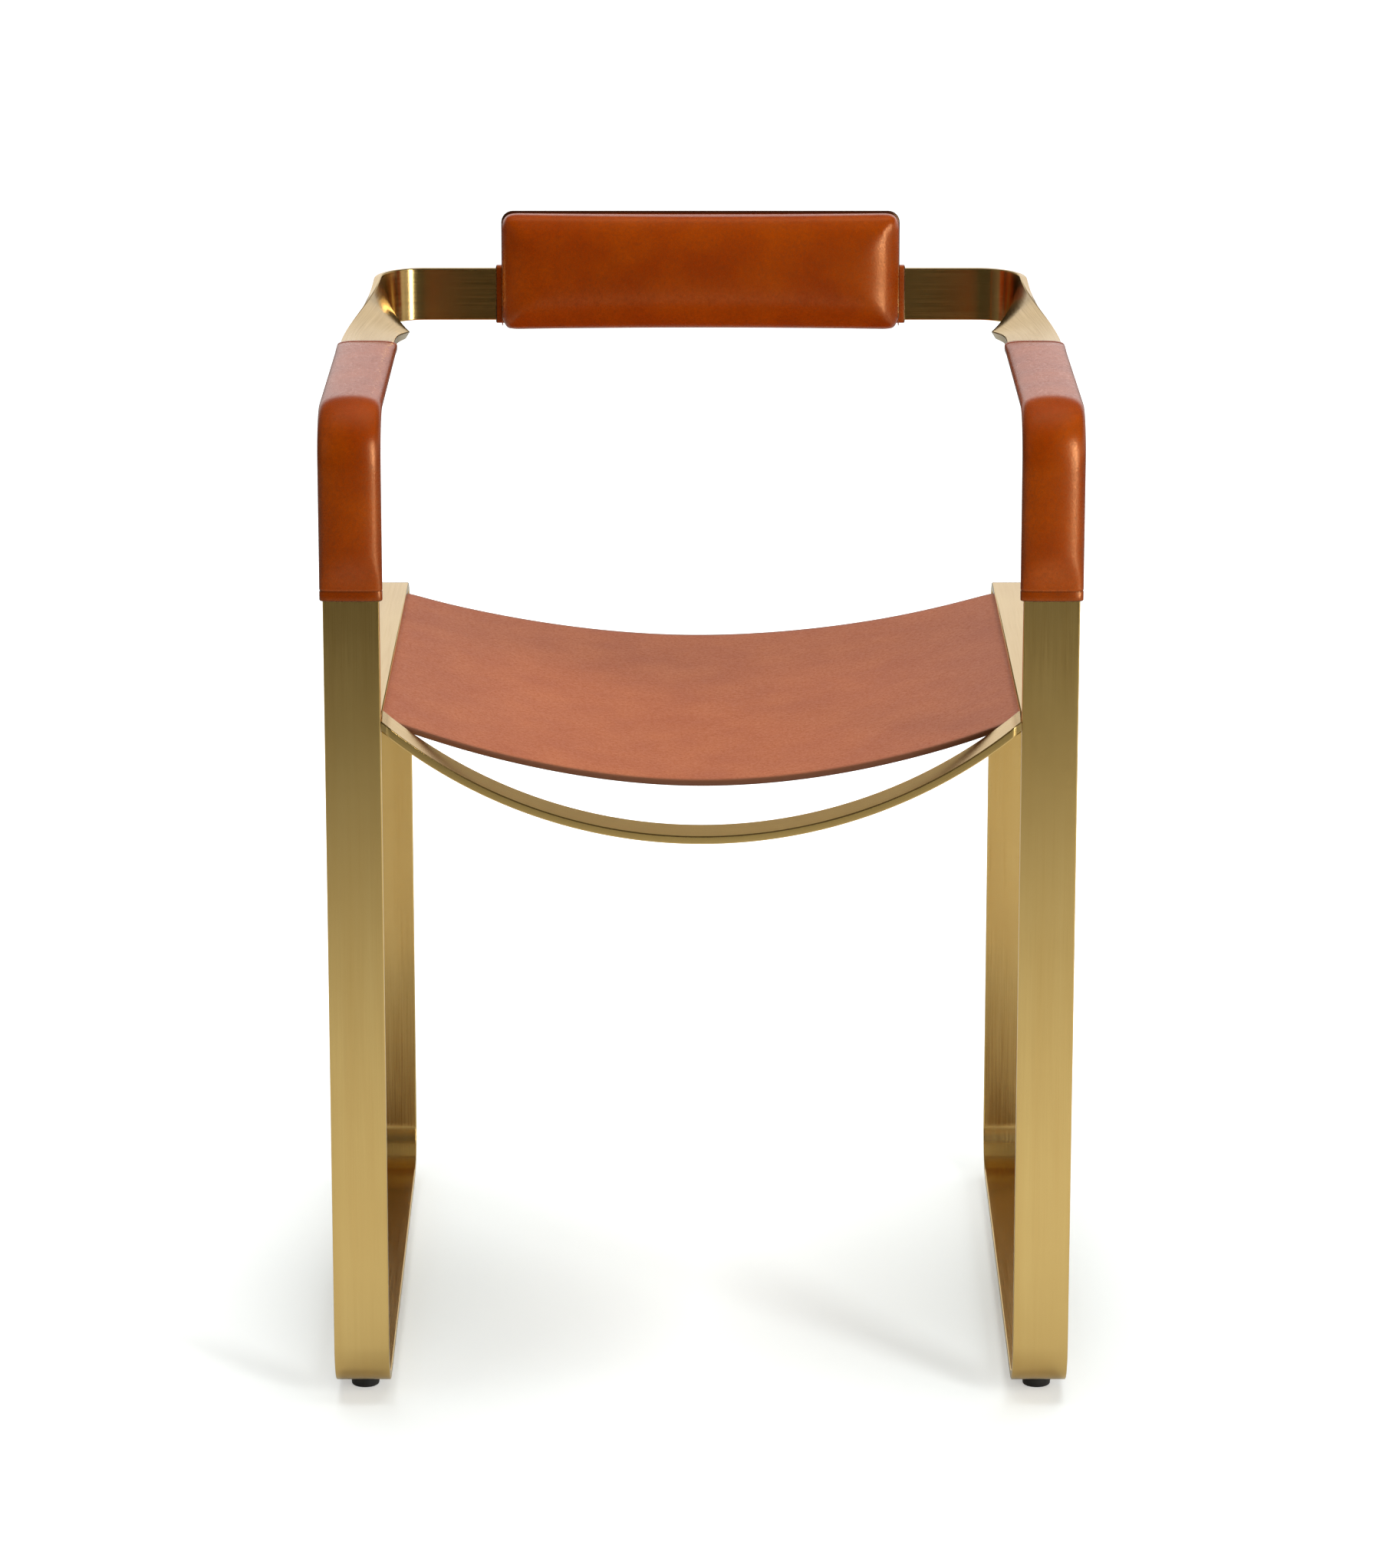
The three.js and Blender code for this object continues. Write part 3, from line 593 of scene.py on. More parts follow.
weld_y = front_y + BAR_THICKNESS - WELD_SINK
side_path = rounded_path(on_arms([Vector((0, ARM_JOINT_RUN - FIT_GAP / 2, 0))]) + [
    Vector((0, y, z)) for y, z in (
        (leg_y, arm_middle(leg_y)), (leg_y, runner_middle), (rear_leg_y, runner_middle),
        (rear_leg_y, rail_middle(rear_leg_y)), (weld_y, rail_middle(weld_y)))
], BEND_RADIUS)
for hand, side in HANDS.items():
    rings = [ring_at(station(side * bar_centre_x, *place), bar_outline) for place in side_path]
    fit(skin(f"{hand}_side_bar", rings, BRASS), "brushed_brass", f"side_frame_{hand}")

# %% [markdown]
# ## Back hoop
#
# Behind each sleeve the arm starts to twist. Its outer edge comes up and its
# inner edge goes down until the bar stands on edge, and meanwhile it bends
# round into the back rail, so the arm's top face becomes the rail's front face.
# A real smith does both at once, hot. The twist follows a smooth rise and fall,
# so it has no kink where it starts and ends.

# %% Back hoop
BACK_RAIL_SETBACK = 13 * MM
BACK_RAIL_LIFT = 5.9 * MM
SLEEVE_REAR_RUN = 284 * MM
TWIST_START_GAP = 13 * MM
TWIST_RAIL_LENGTH = 7.2 * MM
TWIST_SWAY = 9.7 * MM
TWIST_STEPS = 90

hoop_start = ARM_JOINT_RUN + FIT_GAP / 2
back_rail_run = rear_y - front_y - BACK_RAIL_SETBACK
arm_run = back_rail_run - BEND_RADIUS - hoop_start
bend_run = BEND_RADIUS * math.pi / 2
rail_run = bar_centre_x - BEND_RADIUS
twist_start = SLEEVE_REAR_RUN + TWIST_START_GAP - hoop_start
twist_end = arm_run + bend_run + TWIST_RAIL_LENGTH


def gentle(value):
    """A share from 0 to 1 that starts and ends gently."""
    share = min(max(value, 0), 1)
    return share * share * (3 - 2 * share)


def hoop_centre(run):
    """Place on the hoop's centreline in plan, and how far it has turned inwards."""
    if run <= arm_run:
        return bar_centre_x, hoop_start + run, 0.0
    if run <= arm_run + bend_run:
        turn = (run - arm_run) / BEND_RADIUS
        return (bar_centre_x - BEND_RADIUS * (1 - math.cos(turn)),
                back_rail_run - BEND_RADIUS * (1 - math.sin(turn)), turn)
    return rail_run - (run - arm_run - bend_run), back_rail_run, math.pi / 2


def hoop_station(run):
    """The bar's centre, width axis and thickness axis at a run from the arm joint."""
    x, y, turn = hoop_centre(run)
    rise = gentle((run - twist_start) / (twist_end - twist_start))
    twist = rise * math.pi / 2
    outwards = Vector((math.cos(turn), math.sin(turn), 0))
    across = outwards * math.cos(twist) + UP * math.sin(twist)
    face = UP * math.cos(twist) - outwards * math.sin(twist)
    centre = Vector((x, y, BACK_RAIL_LIFT * rise))
    centre -= outwards * TWIST_SWAY * math.sin(math.pi * rise)
    return centre, across, face


twist_run = twist_end - twist_start
hoop_runs = [0.0] + [twist_start + twist_run * i / TWIST_STEPS for i in range(TWIST_STEPS + 1)]
hoop_runs.append(arm_run + bend_run + rail_run)
right_half = [on_arms(ring_at(hoop_station(run), bar_outline)) for run in hoop_runs]
left_half = [[Vector((-p.x, p.y, p.z)) for p in ring] for ring in right_half[-2::-1]]
fit(skin("twisted_back_hoop", right_half + left_half, BRASS), "brushed_brass", "back_hoop")

# %% [markdown]
# ## Seat arch
#
# A narrower bar is laid flat and rolled to one radius. It braces the frames
# under the front edge of the seat. Its ends are cut upright to meet the rails,
# so its rings all stand upright across the chair.

# %% Seat arch
ARCH_THICKNESS = 6 * MM
ARCH_END_DROP = 9.5 * MM
ARCH_STEPS = 64

arch_low, arch_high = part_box("seat_arch")
arch_reach = arch_high.x
arch_end_z = RAIL_FRONT_TOP - ARCH_END_DROP
arch_drop = arch_end_z - arch_low.z
arch_radius = (rail_inner_x ** 2 + arch_drop ** 2) / (2 * arch_drop)
arch_outline = eased_outline(arch_high.y - arch_low.y, ARCH_THICKNESS, BAR_EASING)


def arch_station(x):
    """An upright station on the arch, its thickness measured square to the curve."""
    lean = math.sqrt(arch_radius ** 2 - x ** 2)
    inner_lean = math.sqrt((arch_radius - ARCH_THICKNESS) ** 2 - x ** 2)
    middle_z = arch_low.z + arch_radius - (lean + inner_lean) / 2
    centre = Vector((x, (arch_low.y + arch_high.y) / 2, middle_z))
    return centre, REAR, UP * (lean - inner_lean) / ARCH_THICKNESS


arch_rings = [ring_at(arch_station(arch_reach * (2 * i / ARCH_STEPS - 1)), arch_outline)
              for i in range(ARCH_STEPS + 1)]
fit(skin("rolled_seat_arch", arch_rings, BRASS), "brushed_brass", "seat_arch")

# %% [markdown]
# ## Seat hide
#
# The seat is one hide, four and a half millimetres thick, that hangs between
# the rails like a shallow sling. It hangs lower at the front than at the rear.
# Hanging leather takes nearly a parabola, so that curve is written down and not
# simulated, and it rolls softly out from under the rails. Low, wide waves keep
# it from looking machined. Its cut edges and its flesh side are flagged for the
# shader.

# %% Seat hide
HIDE_THICKNESS = 4.5 * MM
HIDE_EDGE_RADIUS = 1.3 * MM
HIDE_FRONT_SAG, HIDE_REAR_SAG = 46 * MM, 34 * MM
HIDE_ROLL = 4 * MM
HIDE_WAVE, WAVES_ACROSS, WAVES_ALONG, WAVE_SLICE, WAVE_ONSET = 0.9 * MM, 7, 5, 0.4, 6
HIDE_DYE_WIDTH, HIDE_DYE_FADE = 1.6 * MM, 0.5 * MM
HIDE_STEPS, HIDE_FACE_STEPS = 130, 90

hide_low, hide_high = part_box("seat_sling")
hide_cut = hide_high.y - hide_low.y


def hide_top(x, y):
    """Height of the hide's top face."""
    share = (y - hide_low.y) / hide_cut
    sag = HIDE_FRONT_SAG + (HIDE_REAR_SAG - HIDE_FRONT_SAG) * share
    inside = rail_inner_x - abs(x)
    inside = (inside + math.hypot(inside, HIDE_ROLL)) / 2
    across = inside / rail_inner_x
    place = Vector((x * WAVES_ACROSS, y * WAVES_ALONG, WAVE_SLICE))
    wave = noise.noise(place) * HIDE_WAVE * min(across * WAVE_ONSET, 1)
    underside = rail_middle(y) - half_bar_upright
    return underside - FIT_GAP - sag * (2 * across - across ** 2) + wave


def hide_station(x):
    """An upright station across the hide, from its front edge to its rear one."""
    at_front, at_rear = hide_top(x, hide_low.y), hide_top(x, hide_high.y)
    centre = Vector((x, (hide_low.y + hide_high.y) / 2, (at_front + at_rear - HIDE_THICKNESS) / 2))
    return centre, Vector((0, 1, (at_rear - at_front) / hide_cut)), UP


hide_outline = eased_outline(hide_cut, HIDE_THICKNESS, HIDE_EDGE_RADIUS,
                             face_steps=HIDE_FACE_STEPS)
undyed_half = hide_cut / 2 - HIDE_DYE_WIDTH
hide_edges = [min(max((abs(a) - undyed_half) / HIDE_DYE_FADE, 0), 1) for a, _ in hide_outline]
hide_rings = []
for i in range(HIDE_STEPS + 1):
    ring = ring_at(hide_station(hide_high.x * (2 * i / HIDE_STEPS - 1)), hide_outline)
    for point, (a, b) in zip(ring, hide_outline):
        centre, along, _ = hide_station(point.x)
        straight = (centre + along * a).z
        point.z += hide_top(point.x, point.y) - HIDE_THICKNESS / 2 - straight
    hide_rings.append(ring)
hide = fit(skin("hung_seat_hide", hide_rings, HIDE, edge=lambda i, j: hide_edges[j],
                flesh=lambda i, j: hide_outline[j][1] < 0),
           "seat_leather", "seat_sling", flat_faces=False)

# %% [markdown]
# ## Arm sleeves
#
# Each sleeve is a strip of saddle leather wrapped round the bar, from the front
# leg over the bend to the middle of the arm, and sewn shut underneath. A thin
# felt under the leather pads the outer face, so it is round from side to side
# and catches one long highlight on its right shoulder. A superellipse draws
# that section: a circle's fullness with a bar's width. At both ends the padding
# stops short and a pressed line runs round, where the hem is turned in.

# %% Arm sleeves
SLEEVE_THICKNESS = 2 * MM
SLEEVE_PADDING = 3.0 * MM
SLEEVE_UNDER_PADDING = 0.5 * MM
SLEEVE_END_TAPER = 26 * MM
SLEEVE_FULLNESS, SLEEVE_END_FULLNESS, SLEEVE_INSIDE_FULLNESS = 2.1, 3.6, 12
SLEEVE_STEP = 6 * MM
SLEEVE_POINTS = 72
# The first two paint shade on the sleeve's sides: where round the outline it starts, and how dark
# it gets.
SIDE_SHADE_START, SIDE_PAINTED_SHADE, HEM_DYE, LINE_DYE = 0.8, 0.5, 0.25, 0.55
CUT_EDGE = 0.7 * MM
SEAM_DEPTH, SEAM_REACH = 0.7 * MM, 0.1 * MM
HEM_INSET, HEM_WIDTH, HEM_DEPTH = 7.5 * MM, 0.9 * MM, 0.5 * MM

sleeve_low_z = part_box("arm_sleeve_right")[0].z
sleeve_path = rounded_path([
    Vector((0, leg_y, sleeve_low_z)),
    Vector((0, leg_y, arm_middle(leg_y))),
] + on_arms([Vector((0, SLEEVE_REAR_RUN, 0))]), BEND_RADIUS)
sleeve_runs = [0.0]
for (here, _), (there, _) in zip(sleeve_path, sleeve_path[1:]):
    sleeve_runs.append(sleeve_runs[-1] + (there - here).length)
sleeve_length = sleeve_runs[-1]


def on_sleeve(run):
    """Point and direction at a run along the sleeve's path."""
    i = max(k for k in range(len(sleeve_runs) - 1) if sleeve_runs[k] <= run + 1e-9)
    share = (run - sleeve_runs[i]) / (sleeve_runs[i + 1] - sleeve_runs[i])
    here, there = sleeve_path[i], sleeve_path[i + 1]
    return here[0].lerp(there[0], share), here[1].lerp(there[1], share).normalized()


print(f"Each sleeve covers {sleeve_length / MM:.0f} mm of bar")


# %% Sleeve outlines
def tube_outline(half_width, half_outer, half_under, fullness):
    """A superellipse whose visible half and hidden half have their own thickness."""
    outline = []
    for k in range(SLEEVE_POINTS):
        angle = math.tau * k / SLEEVE_POINTS
        a = half_width * math.copysign(abs(math.cos(angle)) ** (2 / fullness), math.cos(angle))
        b = abs(math.sin(angle)) ** (2 / fullness)
        outline.append((a, b * half_under if angle < math.pi else -b * half_outer))
    return outline


def grooved(outline):
    """The outline with a seam's groove along the middle of its hidden face."""
    return [(a, b - SEAM_DEPTH if abs(a) < SEAM_REACH and b > 0 else b) for a, b in outline]


def sleeve_outline(run, shrink):
    """The sleeve's outline at a run, smaller by a wall's share, with its seam underneath."""
    half_width, half_thickness = bar_width / 2 + FIT_GAP, BAR_THICKNESS / 2 + FIT_GAP
    if shrink >= SLEEVE_THICKNESS:
        return tube_outline(half_width, half_thickness, half_thickness, SLEEVE_INSIDE_FULLNESS)
    wall = SLEEVE_THICKNESS - shrink
    inset = min(run, sleeve_length - run) - HEM_INSET
    full = gentle(inset / SLEEVE_END_TAPER) * (1 - shrink / SLEEVE_THICKNESS)
    fullness = SLEEVE_FULLNESS + (1 - full) * (SLEEVE_END_FULLNESS - SLEEVE_FULLNESS)
    return grooved(tube_outline(half_width + wall, half_thickness + wall + SLEEVE_PADDING * full,
                                half_thickness + wall + SLEEVE_UNDER_PADDING * full, fullness))


print(f"The padding is {SLEEVE_PADDING / MM:.0f} mm thick at most")

# %% Sleeve walls
# How far each ring is from the wall's end, and how far the skin is drawn in there.
END_LIPS = [(0.0, 1.0 * MM), (0.2 * MM, 0.45 * MM), (0.6 * MM, 0.12 * MM), (1.1 * MM, 0.0)]


def wall_places(length, near_end, plain_runs, wall):
    """Runs over a wrapped wall and back inside it, each with how far the skin is drawn in."""
    outer = near_end + [(run, 0.0) for run in plain_runs]
    outer += [(length - inset, shrink) for inset, shrink in near_end[::-1]]
    return outer + [(run, wall) for run, _ in outer[::-1]]


hem = [(HEM_INSET - HEM_WIDTH, 0.0), (HEM_INSET, HEM_DEPTH), (HEM_INSET + HEM_WIDTH, 0.0)]
plain_start = HEM_INSET + 2 * HEM_WIDTH
plain_length = sleeve_length - 2 * plain_start
plain_count = round(plain_length / SLEEVE_STEP)
plain_runs = [plain_start + plain_length * k / plain_count for k in range(plain_count + 1)]
sleeve_places = wall_places(sleeve_length, END_LIPS + hem, plain_runs, SLEEVE_THICKNESS)


def sleeve_dye_and_shade(i, j):
    """Dye the sleeve's cut ends, darken its pressed line and hems a little, and paint shade on its
    sides.
    """
    run, shrink = sleeve_places[i]
    end_distance = min(run, sleeve_length - run)
    if end_distance < CUT_EDGE:
        return 1.0
    if 0 < shrink < SLEEVE_THICKNESS:
        return LINE_DYE
    # Painted shade on the sides, where the outline turns away from the light.
    side_shade = (abs(math.cos(math.tau * j / SLEEVE_POINTS)) - SIDE_SHADE_START) / (1 - SIDE_SHADE_START)
    return max(SIDE_PAINTED_SHADE * side_shade, HEM_DYE if end_distance < HEM_INSET else 0.0)


for hand, side in HANDS.items():
    rings = [ring_at(station(side * bar_centre_x, *on_sleeve(run)), sleeve_outline(run, shrink))
             for run, shrink in sleeve_places]
    fit(skin(f"{hand}_leather_sleeve", rings, SADDLE, looped=True, edge=sleeve_dye_and_shade),
        "saddle_leather", f"arm_sleeve_{hand}", flat_faces=False)

# %% [markdown]
# ## Band round the back rail
#
# The cushion hangs on a band of the same leather that is wrapped round the rail
# and sewn shut behind it. It shows as a narrow strip at each end of the cushion
# and as a smooth panel from behind. It is made like the sleeves, on a straight
# path.

# %% Rail band
BAND_CORNER = 2.6 * MM
BAND_FACE_STEPS, BAND_STEPS = 14, 24
BAND_THICKNESS = 2 * MM

band_low, band_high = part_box("back_rail_wrap")


def band_station(x):
    """A station on the band: its width is upright and its thickness runs fore and aft."""
    return Vector((x, back_rail_run, BACK_RAIL_LIFT)), UP, REAR


def band_outline(shrink):
    """The band's outer outline, smaller by a wall's share, with its seam behind."""
    wall = FIT_GAP + BAND_THICKNESS - shrink
    corner = max(BAND_CORNER - shrink, FIT_GAP)
    outline = eased_outline(bar_width + 2 * wall, BAR_THICKNESS + 2 * wall, corner,
                            face_steps=BAND_FACE_STEPS)
    return grooved(outline) if shrink < BAND_THICKNESS else outline


band_length = band_high.x - band_low.x
band_runs = [band_length * k / BAND_STEPS for k in range(1, BAND_STEPS)]
band_places = wall_places(band_length, END_LIPS, band_runs, BAND_THICKNESS)
band_rings = [on_arms(ring_at(band_station(band_low.x + run), band_outline(shrink)))
              for run, shrink in band_places]
fit(skin("back_rail_band", band_rings, SADDLE, looped=True,
         edge=lambda i, _: min(band_places[i][0], band_length - band_places[i][0]) < CUT_EDGE),
    "saddle_leather", "back_rail_wrap", flat_faces=False)

# %% [markdown]
# ## Back cushion
#
# The cushion is a slim leather pad: a crowned front, sides that pull in between
# the corners, and a stiff leather panel behind it with dyed edges that show all
# round as a dark line. Stuffed leather gets its shape from pressure inside, so
# the pad starts as a slightly small block, is remeshed into even faces and is
# blown up by a cloth simulation. Its sides are held, because the board behind
# them is stiff, and so the swelling goes to the front. The panel is then made
# as a flat eased plate.

# %% Cushion block
PAD_WIDTH, PAD_HEIGHT = 306 * MM, 90 * MM
PAD_RAIL_DROP = 4.5 * MM
PAD_SHY = 0.4 * MM
PAD_VOXEL = 4 * MM
PAD_CORNER = 9 * MM
PAD_CROWN, PAD_CROWN_REACH = 9.5 * MM, 41 * MM
PAD_FACE_STEPS, PAD_CROWN_STEPS = 30, 12
CROWN_CROWDING, CROWN_FULLNESS = 1.5, 3.2
PAD_SIDE_DRAW = 1.5 * MM
PAD_SIDE_DEPTH = 22 * MM
PANEL_THICKNESS = 3.2 * MM

panel_rear_run = back_rail_run - BAR_THICKNESS / 2 - 2 * FIT_GAP - BAND_THICKNESS
pad_edge_run = panel_rear_run - PAD_SIDE_DEPTH
pad_rear_run = panel_rear_run - PANEL_THICKNESS
pad_lift = BACK_RAIL_LIFT - bar_width / 2 - PAD_RAIL_DROP + PAD_HEIGHT / 2


def pad_station(run):
    """A level station in the cushion: width across the chair, height upright."""
    return Vector((0, run, pad_lift)), RIGHT, UP


def pad_ring(run, inset, draw):
    """The cushion's outline at a run, smaller by an inset and drawn in between its corners."""
    half_x, half_z = PAD_WIDTH / 2 - inset, PAD_HEIGHT / 2 - inset
    corner = max(PAD_CORNER - inset, PAD_CORNER / 3)
    drawn = []
    for a, b in eased_outline(2 * half_x, 2 * half_z, corner, face_steps=PAD_FACE_STEPS):
        draw_x, draw_z = draw * (1 - (b / half_z) ** 2), draw * (1 - (a / half_x) ** 2)
        drawn.append((a * (1 - draw_x / half_x), b * (1 - draw_z / half_z)))
    return ring_at(pad_station(run), drawn)


def crown_rings(shy, reach):
    """Rings over the cushion's crown, from its edge inwards, set in by a gap."""
    rings = []
    for k in range(PAD_CROWN_STEPS + 1):
        inward = (k / PAD_CROWN_STEPS) ** CROWN_CROWDING * reach
        rise = 1 - (1 - inward / PAD_CROWN_REACH) ** CROWN_FULLNESS
        draw = PAD_SIDE_DRAW * (1 - inward / (PAD_HEIGHT / 2))
        rings.append(pad_ring(pad_edge_run + shy - PAD_CROWN * rise, shy + inward, draw))
    return rings


pad_mesh = skin("stuffed_back_cushion", [
    pad_ring(pad_rear_run, PAD_SHY, 0),
    pad_ring((pad_rear_run + pad_edge_run) / 2, PAD_SHY, PAD_SIDE_DRAW),
] + crown_rings(PAD_SHY, PAD_CROWN_REACH), SADDLE)
print(f"The cushion block is {(pad_rear_run - pad_edge_run + PAD_CROWN) / MM:.0f} mm deep")


# %% Blow the cushion up
PAD_HOLD, PAD_PRESSURE, PAD_FRAMES, PAD_SWELL = 4 * MM, 4.0, 20, 4 * MM


def blown(mesh, voxel, held_behind, pressure, last_frame, most):
    """Remesh a block and inflate it as cloth, its rear held, never inwards and never too far."""
    work = new_object("cushion_work", mesh)
    remesh = work.modifiers.new("even_faces", "REMESH")
    remesh.mode = "VOXEL"
    remesh.voxel_size = voxel
    even = modified(work)
    work.modifiers.clear()
    work.data = even
    start = [(v.co.copy(), v.normal.copy()) for v in even.vertices]
    held = work.vertex_groups.new(name="held")
    held.add([v.index for v in even.vertices if v.co.y > held_behind], 1.0, "REPLACE")
    cloth = work.modifiers.new("cloth", "CLOTH")
    leather_cloth = {"use_pressure": True, "uniform_pressure_force": pressure,
                     "vertex_group_mass": "held", "bending_stiffness": 6,
                     "tension_stiffness": 30, "compression_stiffness": 30}
    for setting, value in leather_cloth.items():
        setattr(cloth.settings, setting, value)
    cloth.settings.effector_weights.gravity = 0
    for step in range(1, last_frame + 1):
        bpy.context.scene.frame_set(step)
    blown_up = modified(work)
    moved = []
    for vertex, (before, normal) in zip(blown_up.vertices, start):
        move = vertex.co - before
        move -= normal * min(move.dot(normal), 0)
        vertex.co = before + move * min(1, most / max(move.length, 1e-9))
        moved.append((vertex.co - before).length)
    print(f"The cushion swelled by {max(moved) / MM:.1f} mm at most")
    bpy.data.objects.remove(work)
    for spent in (mesh, even):
        bpy.data.meshes.remove(spent)
    bpy.context.scene.frame_set(1)
    return blown_up


pad_mesh = blown(pad_mesh, PAD_VOXEL, held_behind=pad_edge_run + PAD_HOLD,
                 pressure=PAD_PRESSURE, last_frame=PAD_FRAMES, most=PAD_SWELL)
pad_mesh.name = "stuffed_back_cushion"
pad_mesh.materials.clear()
pad_mesh.materials.append(SADDLE)
pad_mesh.transform(arm_plane)
pad_mesh.shade_smooth()
cushion = fit(pad_mesh, "saddle_leather", "back_pad_cover", flat_faces=False)
finer = cushion.modifiers.new("finer", "SUBSURF")
finer.levels = finer.render_levels = 1
low, high = (Vector(f(v.co[k] for v in pad_mesh.vertices) for k in range(3)) for f in (min, max))
print("The cushion measures", [round(c / MM, 1) for c in high - low], "mm")

# %% Cushion's foam
BOARD_THICKNESS = 9 * MM
FOAM_SHY = 3 * MM

foam_rings = [pad_ring(pad_rear_run - BOARD_THICKNESS, FOAM_SHY, PAD_SIDE_DRAW)]
foam_rings += crown_rings(FOAM_SHY, PAD_CROWN_REACH - 2 * FOAM_SHY)
foam_mesh = skin("cushion_foam", foam_rings, FOAM)
foam_mesh.transform(arm_plane)
fit(foam_mesh, "padding_foam", "back_pad_foam")

# %% Cushion's rear panel
# Depth and inset of each ring in millimetres: a face, the rim, a face. A ring with
# less inset than PANEL_RIM is dyed.
PANEL_PROFILE = ((0.0, 4.0), (0.0, 1.0), (0.25, 0.4), (0.8, 0.0),
                 (2.4, 0.0), (2.95, 0.4), (3.2, 1.0), (3.2, 4.0))
PANEL_RIM = 3

panel_rings = []
for depth, shrink in PANEL_PROFILE:
    outline = eased_outline(PAD_WIDTH - 2 * shrink * MM, PAD_HEIGHT - 2 * shrink * MM,
                            PAD_CORNER, corner_steps=8)
    panel_rings.append(on_arms(ring_at(pad_station(panel_rear_run - depth * MM), outline)))
fit(skin("cushion_rear_panel", panel_rings, SADDLE,
         edge=lambda i, _: PANEL_PROFILE[i][1] < PANEL_RIM),
    "saddle_leather", "back_pad_rear_panel")

# %% [markdown]
# ## Stitches
#
# Saddle stitches close the sleeves and the band. Others run round the edge of
# the cushion's panel and down the cushion's short ends. A Geometry Nodes tree
# makes them: it walks a line, drops one short bead of thread at every stitch
# length, lays it along the line, tips it by a slant and turns its side to the
# leather. The line carries the leather's outward direction as an attribute.

# %% Helpers for geometry trees
FACING = "facing"


def new_tree(name, sockets):
    """A Geometry Nodes tree with named inputs, what adds its nodes and what gives the inputs."""
    tree = bpy.data.node_groups.new(name, "GeometryNodeTree")
    tree.interface.new_socket("Geometry", in_out="OUTPUT", socket_type="NodeSocketGeometry")
    for socket, kind in {"Geometry": "Geometry", **sockets}.items():
        tree.interface.new_socket(socket, in_out="INPUT", socket_type="NodeSocket" + kind)
    add = partial(add_node, tree)
    return tree, add, add("NodeGroupInput").outputs


def grown(name, points, facings, edges, tree, values):
    """Run a tree on points that carry a facing, and return the mesh that it makes."""
    seed = bpy.data.meshes.new(name + "_seed")
    seed.from_pydata(points, edges, [])
    seed.attributes.new(FACING, "FLOAT_VECTOR", "POINT").data.foreach_set(
        "vector", [c for facing in facings for c in facing])
    holder = new_object(name + "_holder", seed)
    maker = holder.modifiers.new("maker", "NODES")
    maker.node_group = tree
    for item in tree.interface.items_tree:
        if item.in_out == "INPUT" and item.name in values:
            maker[item.identifier] = values[item.name]
    made = modified(holder)
    holder.modifiers.clear()
    bpy.data.objects.remove(holder)
    made.name = name
    return made


print("Trees turn what they place by the attribute", FACING)


# %% Stitch tree
def stitch_tree():
    """Beads of thread along a line of edges."""
    tree, add, given = new_tree("stitches", {
        "Spacing": "Float", "Size": "Vector", "Slant": "Float", "Thread": "Material",
    })
    line = add("GeometryNodeMeshToCurve", {"Mesh": given["Geometry"]})
    spots = add("GeometryNodeCurveToPoints", {
        "Curve": line, "Length": given["Spacing"],
    }, mode="LENGTH")
    facing = add("GeometryNodeInputNamedAttribute", {"Name": FACING}, data_type="FLOAT_VECTOR")
    along = add("FunctionNodeAlignRotationToVector", {
        "Vector": spots.outputs["Tangent"],
    }, axis="Z")
    lying = add("FunctionNodeAlignRotationToVector", {
        "Rotation": along, "Vector": facing,
    }, axis="X", pivot_axis="Z")
    tip = add("FunctionNodeAxisAngleToRotation", {"Axis": (1, 0, 0), "Angle": given["Slant"]})
    tipped = add("FunctionNodeRotateRotation", {"Rotation": lying, "Rotate By": tip},
                 rotation_space="LOCAL")
    bead = add("GeometryNodeMeshUVSphere", {"Segments": 8, "Rings": 6, "Radius": 0.5})
    placed = add("GeometryNodeInstanceOnPoints", {
        "Points": spots, "Instance": bead, "Rotation": tipped, "Scale": given["Size"],
    })
    real = add("GeometryNodeRealizeInstances", {"Geometry": placed})
    smooth = add("GeometryNodeSetShadeSmooth", {"Geometry": real})
    threaded = add("GeometryNodeSetMaterial", {"Geometry": smooth, "Material": given["Thread"]})
    add("NodeGroupOutput", {"Geometry": threaded})
    return tree


STITCHES = stitch_tree()
print("Stitch inputs:", [i.name for i in STITCHES.interface.items_tree if i.in_out == "INPUT"])

# %% Seams
SEAM = {"Spacing": 5 * MM, "Size": (0.8 * MM, 0.9 * MM, 5.4 * MM), "Slant": math.radians(50)}
PANEL_SEAM = {"Spacing": 4.5 * MM, "Size": (0.7 * MM, 0.8 * MM, 3.4 * MM), "Slant": 0.0}
END_SEAM = {"Spacing": 5.5 * MM, "Size": (0.9 * MM, 1.0 * MM, 4.2 * MM), "Slant": 0.0}
THREAD_SINK = 0.1 * MM
SLEEVE_SEAM_INSET, BAND_SEAM_INSET, PANEL_SEAM_INSET = 9 * MM, 4 * MM, 4 * MM
PANEL_SEAM_CORNER = 6 * MM
END_SEAM_SETBACK, END_SEAM_SINK = 1.5 * MM, 0.4 * MM
END_SEAM_LOW, END_SEAM_HIGH = 6 * MM, 52 * MM
END_SEAM_OUTWARDS, END_SEAM_FORWARDS = 0.8, -0.6
SLEEVE_SEAM_STEPS, END_SEAM_STEPS = 60, 12


def stitched(name, points, facings, stitch, closed=False):
    """Stitches along a line of points, as a finished piece."""
    count = len(points)
    links = [(k, (k + 1) % count) for k in range(count if closed else count - 1)]
    seam = grown(name, points, facings, links, STITCHES, {**stitch, "Thread": THREAD})
    fit(seam, "saddle_leather", flat_faces=False)


